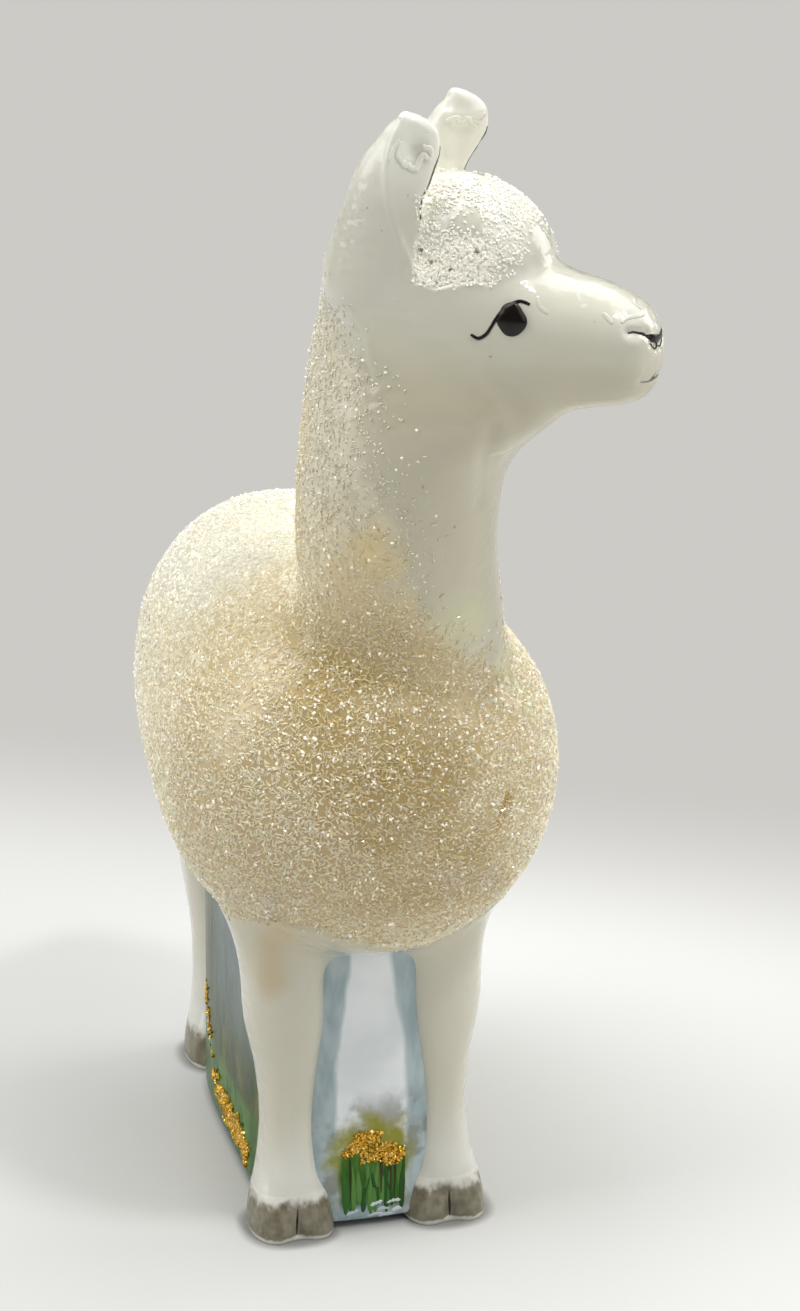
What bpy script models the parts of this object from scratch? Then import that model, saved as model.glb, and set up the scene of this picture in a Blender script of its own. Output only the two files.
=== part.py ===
"""A blown-glass llama ornament that stands on its feet, with a painted meadow block between its legs.

The animal faces -Y with its left side towards +X, and turns its head to its left. Heights are above the floor.
Sizes below are in millimetres in the animal's own frame, whose X = 0 plane is the trunk's middle.
The body is lofted whole, fused into one smooth skin, and then parted by thin straight cuts.
"""

import math
from collections import namedtuple

import bmesh
import bpy
import numpy as np
from mathutils import Matrix, Vector
from mathutils.bvhtree import BVHTree

MM = 0.001
BOX_CENTRE = (2.08, -3.505)  # middle of the model's box in the animal's frame, which becomes the origin
GAP = 0.3  # width of every parting cut
RING_POINTS = 40
RINGS_PER_SPAN = 5
DOME_STEPS = 8
TAPERED_DOME = 32.0  # degrees at which a dome takes over from a loft that already narrows
VOXEL = 0.42
SMOOTH_PASSES = 110  # over the broad joints; details get a part of each pass
DETAIL_SHARE = 0.12  # that part
CRISP_SHARE = 0.04  # and the part at the tips of the ears
SKIN_TRIANGLES, MOULD_TRIANGLES = 5250, 5000  # for the flesh, and for the shape that it leaves in the block
INFLATE = 0.3  # gap between the block and the flesh it touches

HEAD_YAW = 51.0  # degrees that the head is turned to the animal's left
HEAD_CENTRE = (2.3, -23.5)
EAR_TURN = 35.0  # degrees that the ears' faces are turned from the head's own sides
EAR_PLATE = 1.0  # half thickness of an ear behind its face
EYE_ALONG, EYE_HEIGHT = 13.5, 96.2
EYE_RADIUS, EYE_DEPTH, EYE_SINK = 1.45, 0.8, 0.3
LEG_MIDDLE = -0.05  # sideways place of the plane that the legs and the block are built about
FRONT_SPREAD, HIND_SPREAD = 7.85, 5.9  # from that plane to a leg's centre
FRONT_LEG_Y, HIND_LEG_Y = -18.0, 22.5
TOE_SPREAD = 2.0  # from a leg's centre to a toe's
SOLE = -0.8  # the lofts run this far below the floor and are cut flat at it
BLOCK_HALF_WIDTH, BLOCK_FRONT, BLOCK_BACK = 10.1, -21.7, 20.4
BLOCK_INSETS = [(0.5, 0.7), (0.8, 0.2), (1.3, 0.0), (14.0, 0.2), (27.0, 0.3), (40.0, 0.4)]  # by height
LEG_CUT, HOOF_TOP, TAIL_CUT = 28.6, 4.9, 31.0  # heights of two cuts, and how far back the tail's is

# Base colour, metallic and roughness of every node, by the first word of its name.
WHITE = ((0.86, 0.84, 0.78), 0.0, 0.1)
FLEECE = ((0.78, 0.7, 0.52), 0.0, 0.45)
FINISHES = {
    "head": WHITE,
    "ear": WHITE,
    "leg": WHITE,
    "neck": FLEECE,
    "topknot": FLEECE,
    "trunk": FLEECE,
    "tail": FLEECE,
    "hoof": ((0.25, 0.22, 0.19), 0.0, 0.4),
    "eye": ((0.01, 0.01, 0.01), 0.0, 0.05),
    "meadow": ((0.55, 0.62, 0.68), 0.0, 0.15),
}

EAR_TIPS, EAR_TIP_REACH = [(4.5, -6.5, 110.5), (4.5, 4.6, 110.8)], 7.0

# Where the flesh flows together, as a point and the reach of its smoothing.
BROAD_JOINTS = [
    ((2.5, -18.0, 63.0), 22.0),
    ((6.5, -27.0, 87.5), 16.0),
    ((3.0, -23.0, 100.0), 9.0),
    ((-8.0, -16.0, 33.0), 11.0),
    ((8.0, -16.0, 33.0), 11.0),
    ((-9.0, 17.0, 36.0), 18.0),
    ((9.0, 17.0, 36.0), 18.0),
]

# A ring of a loft: its centre, its side and rise directions, its half width, and its reach along rise and against it.
Ring = namedtuple("Ring", "centre side rise width up down")


def turned(degrees):
    """The forward and left directions of something turned that far to the animal's left."""
    angle = math.radians(degrees)
    forward = Vector((math.sin(angle), -math.cos(angle), 0))
    return forward, Vector((math.cos(angle), math.sin(angle), 0))


HEAD_FORWARD, HEAD_LEFT = turned(HEAD_YAW)


def in_head(along, left, height):
    """A point given by its distance along the face and to the face's left, and its height."""
    base = Vector((*HEAD_CENTRE, height))
    return base + along * HEAD_FORWARD + left * HEAD_LEFT


def smooth_rings(rings):
    """The rings with more between them, on a Catmull-Rom curve through every size and place."""
    rows = [[*r.centre, *r.side, *r.rise, r.width, r.up, r.down] for r in rings]
    rows = np.array([rows[0], *rows, rows[-1]], float)
    found = []
    for i in range(1, len(rows) - 2):
        before, start, end, after = rows[i - 1 : i + 3]
        for step in range(RINGS_PER_SPAN):
            t = step / RINGS_PER_SPAN
            curve = 2 * start + (end - before) * t
            curve += (2 * before - 5 * start + 4 * end - after) * t * t
            curve += (3 * start - before - 3 * end + after) * t**3
            found.append(curve / 2)
    found.append(rows[-2])
    return [Ring(Vector(r[:3]), Vector(r[3:6]).normalized(), Vector(r[6:9]).normalized(), *r[9:]) for r in found]


def ring_points(ring, power=2.0):
    """Points round a ring, an ellipse for power 2 and boxier above it."""
    for i in range(RING_POINTS):
        angle = 2 * math.pi * i / RING_POINTS
        across, along = math.cos(angle), math.sin(angle)
        x = math.copysign(abs(across) ** (2 / power), across) * ring.width
        y = math.copysign(abs(along) ** (2 / power), along)
        yield ring.centre + ring.side * x + ring.rise * y * (ring.up if y > 0 else ring.down)


def loft(rings, power=2.0, start_dome=0.0, end_dome=0.0, dome_from=0.0):
    """A closed mesh that flows through the rings, whose two ends are flat, or domes of the given height."""
    return skinned(domed(smooth_rings(rings), start_dome, end_dome, dome_from), power)


def domed(rings, start_dome, end_dome, dome_from):
    """The rings with those of its two end domes, which take over at an angle from the loft's own direction."""
    first = math.radians(dome_from)
    for dome, last, inner in ((start_dome, 0, 1), (end_dome, -1, -2)):
        if not dome:
            continue
        outward = (rings[last].centre - rings[inner].centre).normalized()
        end = rings[last]
        caps = []
        for step in range(1, DOME_STEPS):
            angle = first + (math.pi / 2 - first) * step / DOME_STEPS
            share = math.cos(angle) / math.cos(first)
            reach = (math.sin(angle) - math.sin(first)) / (1 - math.sin(first))
            centre = end.centre + outward * dome * reach
            caps.append(Ring(centre, end.side, end.rise, end.width * share, end.up * share, end.down * share))
        rings = caps[::-1] + rings if last == 0 else rings + caps
    return rings


def skinned(rings, power):
    """A closed mesh with straight runs between the rings and flat ends."""
    bm = bmesh.new()
    loops = [[bm.verts.new(p * MM) for p in ring_points(r, power)] for r in rings]
    for lower, upper in zip(loops, loops[1:]):
        for i in range(RING_POINTS):
            j = (i + 1) % RING_POINTS
            bm.faces.new((lower[i], lower[j], upper[j], upper[i]))
    bm.faces.new(loops[0][::-1])
    bm.faces.new(loops[-1])
    bmesh.ops.recalc_face_normals(bm, faces=bm.faces)
    return bm


def trunk():
    """The barrel of the body, from the chest at -Y to the rump."""
    side, rise = Vector((1, 0, 0)), Vector((0, 0, 1))
    sizes = [  # along, sideways, height, half width, rise, drop
        (-28.5, 0.7, 47.2, 12.4, 12.8, 12.4),
        (-25.0, 0.7, 47.2, 16.2, 16.6, 16.0),
        (-18.0, 0.7, 47.2, 19.5, 19.0, 18.6),
        (-9.0, 0.5, 47.4, 19.6, 19.4, 18.6),
        (2.0, 0.2, 47.8, 18.3, 19.6, 18.3),
        (12.0, -0.2, 48.0, 16.6, 19.3, 18.0),
        (20.0, -0.3, 48.2, 14.6, 17.2, 16.4),
        (26.0, -0.3, 48.4, 11.2, 12.8, 12.6),
    ]
    rings = [Ring(Vector((x, y, z)), side, rise, w, up, down) for y, x, z, w, up, down in sizes]
    return loft(rings, 2.1, 3.6, 4.6, TAPERED_DOME)


def neck():
    """The neck, which flares out of the chest and twists towards the head."""
    sizes = [  # height, x, y, turn, half width, forward reach, backward reach
        (54.0, 1.6, -14.0, 0.0, 15.0, 13.0, 13.0),
        (60.0, 2.8, -17.8, 2.0, 12.0, 11.0, 11.4),
        (66.0, 3.0, -20.5, 6.0, 10.1, 9.7, 10.0),
        (72.0, 2.3, -22.0, 15.0, 9.8, 9.5, 9.5),
        (78.0, 2.3, -22.8, 26.0, 9.7, 10.2, 9.7),
        (82.5, 2.6, -23.5, 36.0, 9.5, 12.0, 9.9),
        (86.0, 3.3, -24.3, 44.0, 9.3, 14.8, 10.6),
        (90.0, 4.0, -24.9, 50.0, 8.7, 13.4, 11.0),
        (95.0, 3.2, -24.2, 51.0, 8.0, 9.0, 8.7),
        (100.0, 2.3, -23.5, 51.0, 6.8, 7.0, 6.5),
    ]
    rings = []
    for z, x, y, turn, width, front, back in sizes:
        forward, left = turned(turn)
        rings.append(Ring(Vector((x, y, z)), left, forward, width, front, back))
    return loft(rings, 2.0, 0.0, 3.0)


def head():
    """The skull and muzzle in one loft along the face."""
    sizes = [  # along, height, half width, rise, drop
        (-3.5, 97.5, 5.6, 6.0, 4.5),
        (1.0, 97.5, 7.4, 7.9, 6.5),
        (6.0, 97.0, 7.7, 7.9, 9.2),
        (11.0, 95.4, 7.2, 6.8, 9.8),
        (15.6, 94.0, 6.0, 6.0, 7.6),
        (19.3, 93.4, 5.1, 5.8, 6.0),
        (22.0, 93.2, 4.6, 5.1, 5.3),
        (23.6, 93.0, 4.1, 4.4, 4.5),
    ]
    rise = Vector((0, 0, 1))
    rings = [Ring(in_head(s, 0, z), HEAD_LEFT, rise, w, up, down) for s, z, w, up, down in sizes]
    return loft(rings, 2.2, 3.0, 1.9, 15.0)


def topknot():
    """The dome of fleece over the forehead."""
    sizes = [  # height, along, half width, forward reach, backward reach
        (97.0, 7.2, 7.0, 7.6, 7.0),
        (101.5, 7.3, 6.9, 7.6, 7.0),
        (104.6, 6.8, 5.7, 6.4, 6.0),
    ]
    rings = [Ring(in_head(s, 0, z), HEAD_LEFT, HEAD_FORWARD, w, f, b) for z, s, w, f, b in sizes]
    return loft(rings, 2.0, 0.0, 3.2, TAPERED_DOME)


EAR_BACK = [  # height, along, half thickness, forward reach, backward reach
    (96.0, -0.5, 3.6, 4.5, 5.4),
    (101.0, 1.0, 3.0, 3.6, 5.7),
    (105.0, 1.6, 2.5, 2.6, 4.5),
    (109.0, 2.2, 2.1, 1.8, 3.5),
    (112.0, 3.1, 1.8, 1.5, 1.9),
]
EAR_ASIDE = {-1: (-4.6, -5.3, -5.8, -6.1, -6.2), 1: (4.6, 4.9, 4.9, 4.9, 4.9)}  # left of the face's middle plane
EAR_FACES = {  # height, along, left, half length, lean
    -1: [
        (101.0, 4.5, -7.4, 0.7, 0.0),
        (105.0, 4.2, -7.45, 1.4, 0.0),
        (107.1, 4.3, -7.25, 1.85, 0.0),
        (109.3, 4.5, -7.0, 2.3, 5.0),
        (111.2, 4.95, -6.9, 2.3, 15.0),
        (113.0, 5.15, -6.85, 2.1, 26.0),
    ],
    1: [
        (103.0, 3.6, 3.4, 0.8, 0.0),
        (105.0, 3.5, 3.4, 1.1, 0.0),
        (107.1, 3.7, 3.6, 1.4, 0.0),
        (109.2, 4.2, 3.9, 2.0, 5.0),
        (111.4, 4.95, 4.1, 2.3, 15.0),
        (113.4, 5.15, 4.15, 2.1, 26.0),
    ],
}


def ear(side):
    """One ear as a thick back and a flat face leaning forward; side is -1 for the animal's right and 1 for its left."""
    rings = [
        Ring(in_head(s, aside, z), HEAD_LEFT, HEAD_FORWARD, w, f, b)
        for (z, s, w, f, b), aside in zip(EAR_BACK, EAR_ASIDE[side])
    ]
    lofts = [loft(rings, 2.2, 0.0, 1.7)]
    turn = math.radians(EAR_TURN)
    along = HEAD_FORWARD * math.cos(turn) + HEAD_LEFT * math.sin(turn)
    outward = HEAD_FORWARD * math.sin(turn) - HEAD_LEFT * math.cos(turn)
    rings = []
    for z, s, left, length, lean in EAR_FACES[side]:
        rise = along * math.cos(math.radians(lean)) - Vector((0, 0, 1)) * math.sin(math.radians(lean))
        rings.append(Ring(in_head(s, left, z) - outward * EAR_PLATE, outward, rise, EAR_PLATE, length, length))
    return lofts + [loft(rings, 3.0, 0.0, 0.8)]


FRONT_LEG = [  # height, outward, ahead, half width, half depth
    (40.0, 0.8, -2.0, 6.4, 6.6),
    (33.5, 0.4, -1.0, 5.4, 6.0),
    (28.5, 0.1, -0.4, 4.5, 5.0),
    (22.5, 0.0, 0.0, 4.15, 4.4),
    (17.0, -0.1, 0.0, 3.2, 3.9),
    (11.5, -0.1, 0.0, 2.8, 3.6),
    (6.5, 0.0, 0.2, 3.2, 3.9),
    (3.0, 0.0, 0.4, 3.9, 4.4),
    (SOLE, 0.0, 0.4, 3.9, 4.4),
]
HIND_LEG = [
    (47.0, 2.0, 8.0, 6.4, 8.0),
    (40.0, 2.4, 5.4, 6.6, 9.0),
    (33.0, 1.6, 2.6, 5.5, 8.2),
    (27.0, 0.6, 0.0, 4.4, 6.2),
    (21.0, 0.0, -1.6, 3.7, 4.8),
    (15.0, -0.2, -1.2, 3.1, 4.1),
    (9.5, -0.1, -0.2, 3.1, 3.9),
    (5.5, 0.0, 0.2, 3.4, 4.1),
    (3.0, 0.0, 0.4, 3.7, 4.4),
    (SOLE, 0.0, 0.4, 3.7, 4.4),
]
TOE = [(6.5, 0.4, 1.3, 2.2), (4.0, 0.9, 1.8, 3.6), (1.2, 1.2, 2.3, 4.2), (SOLE, 1.2, 2.2, 4.1)]


def leg(side, spread, y, sizes):
    """A leg with the two toes of its foot."""
    across, forward = Vector((1, 0, 0)), Vector((0, -1, 0))
    middle = LEG_MIDDLE + side * spread
    rings = [
        Ring(Vector((middle + side * out, y - ahead, z)), across, forward, width, depth, depth)
        for z, out, ahead, width, depth in sizes
    ]
    lofts = [loft(rings, 2.2)]
    for toe in (-1, 1):
        rings = [
            Ring(Vector((middle + toe * TOE_SPREAD, y - ahead, z)), across, forward, width, depth, depth)
            for z, ahead, width, depth in TOE
        ]
        lofts.append(loft(rings, 2.2))
    return lofts


def tail():
    """The short tail that lies down the rump."""
    side, out = Vector((1, 0, 0)), Vector((0, 1, 0))
    sizes = [(60.0, 24.0, 3.2, 4.0), (55.0, 28.0, 4.2, 4.4), (49.0, 30.6, 4.4, 3.8), (43.0, 31.6, 3.9, 3.0)]
    rings = [Ring(Vector((LEG_MIDDLE, y, z)), side, out, w, d, d) for z, y, w, d in sizes]
    return loft(rings, 2.0, 2.0, 2.6)


def block_shape():
    """The block of the meadow, before the legs and the belly are taken out of it."""
    middle = (BLOCK_FRONT + BLOCK_BACK) / 2
    half = (BLOCK_BACK - BLOCK_FRONT) / 2
    side, rise = Vector((1, 0, 0)), Vector((0, 1, 0))
    rings = [
        Ring(Vector((LEG_MIDDLE, middle, z)), side, rise, BLOCK_HALF_WIDTH - inset, half - inset, half - inset)
        for z, inset in BLOCK_INSETS
    ]
    return skinned(rings, 4.0)


def new_object(name, bm):
    mesh = bpy.data.meshes.new(name)
    bm.to_mesh(mesh)
    bm.free()
    made = bpy.data.objects.new(name, mesh)
    bpy.context.scene.collection.objects.link(made)
    return made


def evaluated(obj):
    """The mesh that the object's modifiers make, as a bmesh; the object itself is removed."""
    bm = bmesh.new()
    bm.from_object(obj, bpy.context.evaluated_depsgraph_get())
    bpy.data.objects.remove(obj)
    return bm


def broadness(points):
    """How much of each smoothing pass every point gets: all in the middle of a broad joint, less elsewhere."""
    share = np.full(len(points), DETAIL_SHARE)
    crisp = [(in_head(*tip), EAR_TIP_REACH) for tip in EAR_TIPS]
    for places, full in ((crisp, CRISP_SHARE), (BROAD_JOINTS, 1.0)):
        for centre, reach in places:
            near = 1 - np.linalg.norm(points - np.array(centre) * MM, axis=1) / (reach * MM)
            near = np.clip(near * 1.6, 0, 1)
            share += (full - share) * near * near * (3 - 2 * near)
    return share


def smoothed(bm):
    """The skin after its smoothing passes."""
    mesh = bpy.data.meshes.new("skin")
    bm.to_mesh(mesh)
    bm.free()
    points = np.empty(len(mesh.vertices) * 3)
    mesh.vertices.foreach_get("co", points)
    points = points.reshape(-1, 3)
    edges = np.empty(len(mesh.edges) * 2, int)
    mesh.edges.foreach_get("vertices", edges)
    tips, tails = np.concatenate([edges.reshape(-1, 2), edges.reshape(-1, 2)[:, ::-1]]).T
    count = np.bincount(tips, minlength=len(points))[:, None]
    share = broadness(points)[:, None] * 0.5
    for _ in range(SMOOTH_PASSES):
        sums = [np.bincount(tips, points[tails, axis], len(points)) for axis in range(3)]
        points += share * (np.stack(sums, 1) / count - points)
    mesh.vertices.foreach_set("co", points.ravel())
    bm = bmesh.new()
    bm.from_mesh(mesh)
    bpy.data.meshes.remove(mesh)
    return bm


def fused(lofts):
    """The lofts joined into one smooth closed skin."""
    joined = bmesh.new()
    for bm in lofts:
        mesh = bpy.data.meshes.new("loft")
        bm.to_mesh(mesh)
        bm.free()
        joined.from_mesh(mesh)
        bpy.data.meshes.remove(mesh)
    whole = new_object("whole", joined)
    remesh = whole.modifiers.new("Fuse", "REMESH")
    remesh.mode = "VOXEL"
    remesh.voxel_size = VOXEL * MM
    return smoothed(evaluated(whole))


def thinned(bm, triangles):
    """The skin with about that many triangles."""
    count = sum(len(face.verts) - 2 for face in bm.faces)
    whole = new_object("whole", bm)
    whole.modifiers.new("Thin", "DECIMATE").ratio = triangles / count
    return evaluated(whole)


def cut(bm, point, direction, gap=GAP):
    """The parts of a closed mesh behind and ahead of a plane, each closed, with a gap between them."""
    direction = Vector(direction).normalized()
    parts = []
    for sign in (-1, 1):
        part = bm.copy()
        bmesh.ops.bisect_plane(
            part,
            geom=[*part.verts, *part.edges, *part.faces],
            dist=1e-8,
            plane_co=(Vector(point) + sign * direction * gap / 2) * MM,
            plane_no=sign * direction,
            clear_inner=True,
        )
        bmesh.ops.holes_fill(part, edges=[e for e in part.edges if e.is_boundary], sides=0)
        bmesh.ops.triangulate(part, faces=part.faces)
        parts.append(part)
    bm.free()
    return parts


def head_direction(along, left, up):
    """A direction given in the head's frame."""
    return along * HEAD_FORWARD + left * HEAD_LEFT + Vector((0, 0, up))


def parted(skin):
    """Every fleshy node of the skin, by name."""
    nodes = {}
    _, skin = cut(skin, (0, 0, 0), (0, 0, 1), 0.0)
    legs, rest = cut(skin, (0, 0, LEG_CUT), (0, 0, 1))
    for side, half in zip(("right", "left"), cut(legs, (LEG_MIDDLE, 0, 0), (1, 0, 0))):
        for place, whole_leg in zip(("front", "hind"), cut(half, (0, 2, 0), (0, 1, 0))):
            hoof, shank = cut(whole_leg, (0, 0, HOOF_TOP), (0, 0, 1))
            nodes[f"hoof_{place}_{side}"] = hoof
            nodes[f"leg_{place}_{side}"] = shank
    rest, nodes["tail"] = cut(rest, (0, TAIL_CUT, 0), (0, 1, 0))
    nodes["trunk"], upper = cut(rest, (0, -31, 58.5), (0, -0.42, 0.91))
    nodes["neck"], whole_head = cut(upper, in_head(12.6, 0, 83.0), head_direction(0.53, 0, 0.85))
    for name, side in (("ear_right", -1), ("ear_left", 1)):
        root = in_head(2.0, side * 4.4, 105.4)
        whole_head, nodes[name] = cut(whole_head, root, head_direction(-0.35, side * 0.65, 0.67))
    nodes["head"], nodes["topknot"] = cut(whole_head, in_head(15.2, 0, 100.6), head_direction(0.15, 0, 0.99))
    return nodes


def grown(bm, distance):
    """A copy of a closed mesh with its surface moved outwards."""
    grown_copy = bm.copy()
    grown_copy.normal_update()
    for vert in grown_copy.verts:
        vert.co += vert.normal * distance * MM
    return grown_copy


def without(name, bm, cutters):
    """The largest solid left of a closed mesh when the cutters are taken from it."""
    made = new_object(name, bm)
    for i, cutter in enumerate(cutters):
        tool = new_object(f"tool_{i}", cutter)
        boolean = made.modifiers.new(f"Take {i}", "BOOLEAN")
        boolean.operation = "DIFFERENCE"
        boolean.solver = "EXACT"
        boolean.use_self = True
        boolean.object = tool
    left = evaluated(made)
    for tool in [obj for obj in bpy.data.objects if obj.name.startswith("tool_")]:
        bpy.data.objects.remove(tool)
    bmesh.ops.triangulate(left, faces=left.faces)
    islands = []
    waiting = set(left.verts)
    while waiting:
        island = {waiting.pop()}
        front = list(island)
        while front:
            near = {edge.other_vert(v) for v in front for edge in v.link_edges} & waiting
            waiting -= near
            island |= near
            front = list(near)
        islands.append(island)
    largest = max(islands, key=len)
    bmesh.ops.delete(left, geom=[v for v in left.verts if v not in largest], context="VERTS")
    return left


def lens(centre, facing, radius, depth):
    """An eye's flattened ball, whose thin way is along the given direction."""
    turn = facing.to_track_quat("Z", "Y").to_matrix().to_4x4()
    squash = Matrix.Diagonal((radius, radius, depth, 1))
    bm = bmesh.new()
    bmesh.ops.create_icosphere(bm, subdivisions=2, radius=MM)
    bm.transform(Matrix.Translation(centre) @ turn @ squash)
    return bm


def eye_seat(skin, side):
    """The middle and the direction of an eye, found where a line from outside meets the head."""
    tree = BVHTree.FromBMesh(skin)
    outside = in_head(EYE_ALONG, side * 20, EYE_HEIGHT) * MM
    place, normal, _, _ = tree.ray_cast(outside, -side * HEAD_LEFT)
    facing = (normal.normalized() + 2 * side * HEAD_LEFT).normalized()
    return place - facing * EYE_SINK * MM, facing


def finish(name, bm, finish_of):
    """Move a node to the shared origin, close it and give it its finish."""
    bm.transform(Matrix.Translation(Vector((-BOX_CENTRE[0], -BOX_CENTRE[1], 0)) * MM))
    bmesh.ops.remove_doubles(bm, verts=bm.verts, dist=1e-6)
    bmesh.ops.recalc_face_normals(bm, faces=bm.faces)
    made = new_object(name, bm)
    color, metallic, roughness = finish_of
    material = bpy.data.materials.new(name)
    material.use_nodes = True
    shader = material.node_tree.nodes["Principled BSDF"]
    shader.inputs["Base Color"].default_value = (*color, 1)
    shader.inputs["Metallic"].default_value = metallic
    shader.inputs["Roughness"].default_value = roughness
    made.data.materials.append(material)


def main():
    for obj in list(bpy.data.objects):
        bpy.data.objects.remove(obj)
    lofts = [trunk(), neck(), head(), topknot(), tail()]
    for side in (-1, 1):
        lofts += ear(side)
        lofts += leg(side, FRONT_SPREAD, FRONT_LEG_Y, FRONT_LEG)
        lofts += leg(side, HIND_SPREAD, HIND_LEG_Y, HIND_LEG)
    body = fused(lofts)
    mould = thinned(grown(body, INFLATE), MOULD_TRIANGLES)
    skin = thinned(body, SKIN_TRIANGLES)
    seats = {name: eye_seat(skin, side) for name, side in (("eye_right", -1), ("eye_left", 1))}
    block = without("meadow_block", block_shape(), [mould])
    nodes = parted(skin)
    sockets = [lens(*seat, EYE_RADIUS + GAP, EYE_DEPTH + GAP) for seat in seats.values()]
    nodes["head"] = without("head", nodes["head"], sockets)
    for name, seat in seats.items():
        nodes[name] = lens(*seat, EYE_RADIUS, EYE_DEPTH)
    nodes["meadow_block"] = block
    for name, bm in nodes.items():
        finish(name, bm, FINISHES[name.split("_")[0]])


main()
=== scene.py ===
"""The looks of a blown-glass llama ornament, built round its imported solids.

Sizes and places are millimetres in the animal's own frame, as in the part's source: the animal faces -Y with
its left side towards +X. They turn into the shared frame's metres when a mesh is made.
"""

import math
from collections import namedtuple

import bmesh
import bpy
import numpy as np
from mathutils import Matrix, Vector, noise
from mathutils.bvhtree import BVHTree


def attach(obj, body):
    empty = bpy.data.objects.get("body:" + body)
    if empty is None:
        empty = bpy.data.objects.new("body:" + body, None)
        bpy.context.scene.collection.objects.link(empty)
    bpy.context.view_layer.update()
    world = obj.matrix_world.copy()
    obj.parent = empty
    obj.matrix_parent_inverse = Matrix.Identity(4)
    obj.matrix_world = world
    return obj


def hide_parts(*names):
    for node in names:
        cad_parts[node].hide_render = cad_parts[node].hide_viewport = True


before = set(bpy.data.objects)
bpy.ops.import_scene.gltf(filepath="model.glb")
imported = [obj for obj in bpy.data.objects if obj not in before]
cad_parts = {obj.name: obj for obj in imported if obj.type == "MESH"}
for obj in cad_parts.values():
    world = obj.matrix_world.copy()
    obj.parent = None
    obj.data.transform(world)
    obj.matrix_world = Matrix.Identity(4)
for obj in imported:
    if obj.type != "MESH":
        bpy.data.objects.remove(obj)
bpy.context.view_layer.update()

MM = 0.001
BOX_CENTRE = np.array([2.08, -3.505, 0.0])  # middle of the model's box in the animal's frame

RING_POINTS = 48
RINGS_PER_SPAN = 6
DOME_STEPS = 10
TAPERED_DOME = 32.0
CAD_VOXEL, CAD_SMOOTH_PASSES, DETAIL_SHARE, CRISP_SHARE, JOINT_PLATEAU = 0.42, 110, 0.12, 0.04, 1.6
VOXEL = 0.36
FINE_ABOVE = 85.0
COAT_DEPTH = 0.3  # how far the glass lies inside the glitter's outer side

HEAD_YAW = 51.0
HEAD_CENTRE = (2.3, -23.5)
EAR_TURN, EAR_PLATE = 35.0, 1.0
EAR_TIPS, EAR_TIP_REACH = [(4.5, -6.5, 110.5), (4.5, 4.6, 110.8)], 7.0
EYE_ALONG, EYE_HEIGHT = 13.5, 96.2
EYE_DEPTH, EYE_SINK, OUTSIDE_HEAD = 0.6, 0.2, 20
LEG_MIDDLE = -0.05
FRONT_SPREAD, HIND_SPREAD = 7.85, 5.9
FRONT_LEG_Y, HIND_LEG_Y = -18.0, 22.5
TOE_SPREAD = 2.0
SOLE = -0.8
SIDE_NAMES = {-1: "right", 1: "left"}
FEET = [  # which end of the animal, which side, and the foot's x and y
    (end, side, LEG_MIDDLE + side * spread, y)
    for end, spread, y in (("front", FRONT_SPREAD, FRONT_LEG_Y), ("hind", HIND_SPREAD, HIND_LEG_Y))
    for side in (-1, 1)
]
HOOF_TOP, HOOF_FADE, BETWEEN_LEGS_Y = 5.4, (5.35, 4.3), 2
LACQUER_SUNK, LACQUER_LIFT = 0.08, 0.12
BLOCK_HALF_WIDTH, BLOCK_FRONT, BLOCK_BACK = 10.1, -21.7, 20.4
BLOCK_MIDDLE = (BLOCK_FRONT + BLOCK_BACK) / 2
BLOCK_INSETS = [(0.5, 0.7), (0.8, 0.2), (1.3, 0.0), (14.0, 0.2), (27.0, 0.3), (40.0, 0.4)]

BROAD_JOINTS = [  # middle and reach
    ((2.5, -18.0, 63.0), 22.0),
    ((6.5, -27.0, 87.5), 16.0),
    ((3.0, -23.0, 100.0), 9.0),
    ((-8.0, -16.0, 33.0), 11.0),
    ((8.0, -16.0, 33.0), 11.0),
    ((-9.0, 17.0, 36.0), 18.0),
    ((9.0, 17.0, 36.0), 18.0),
]

Ring = namedtuple("Ring", "centre side rise width up down")


# --- Lofts, as in the part's source ---


def turned(degrees):
    """The forward and left directions of something turned that far to the animal's left."""
    angle = math.radians(degrees)
    forward = np.array([math.sin(angle), -math.cos(angle), 0])
    return forward, np.array([math.cos(angle), math.sin(angle), 0])


HEAD_FORWARD, HEAD_LEFT = turned(HEAD_YAW)
UP = np.array([0.0, 0.0, 1.0])
ACROSS, BACK = np.array([1.0, 0.0, 0.0]), np.array([0.0, 1.0, 0.0])


def in_head(along, left, height):
    """A point given by its distance along the face and to the face's left, and its height."""
    return np.array([*HEAD_CENTRE, height]) + along * HEAD_FORWARD + left * HEAD_LEFT


def to_head(points):
    """The distances along the face and to its left, and the heights, of some points."""
    offset = points - np.array([*HEAD_CENTRE, 0])
    return offset @ HEAD_FORWARD, offset @ HEAD_LEFT, points[:, 2]


def spline(rows, steps):
    """A Catmull-Rom curve through rows of numbers, with that many steps between two rows."""
    rows = np.array([rows[0], *rows, rows[-1]], float)
    found = []
    for before, start, end, after in zip(rows, rows[1:], rows[2:], rows[3:]):
        for t in np.arange(steps) / steps:
            curve = 2 * start + (end - before) * t
            curve += (2 * before - 5 * start + 4 * end - after) * t * t
            curve += (3 * start - before - 3 * end + after) * t**3
            found.append(curve / 2)
    return np.array([*found, rows[-2]])


def unit(vectors):
    return vectors / np.linalg.norm(vectors, axis=-1, keepdims=True)


def smooth_rings(rings):
    """The rings with more between them, on a curve through every size and place."""
    rows = [[*r.centre, *r.side, *r.rise, r.width, r.up, r.down] for r in rings]
    return [Ring(r[:3], unit(r[3:6]), unit(r[6:9]), *r[9:]) for r in spline(rows, RINGS_PER_SPAN)]


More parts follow.
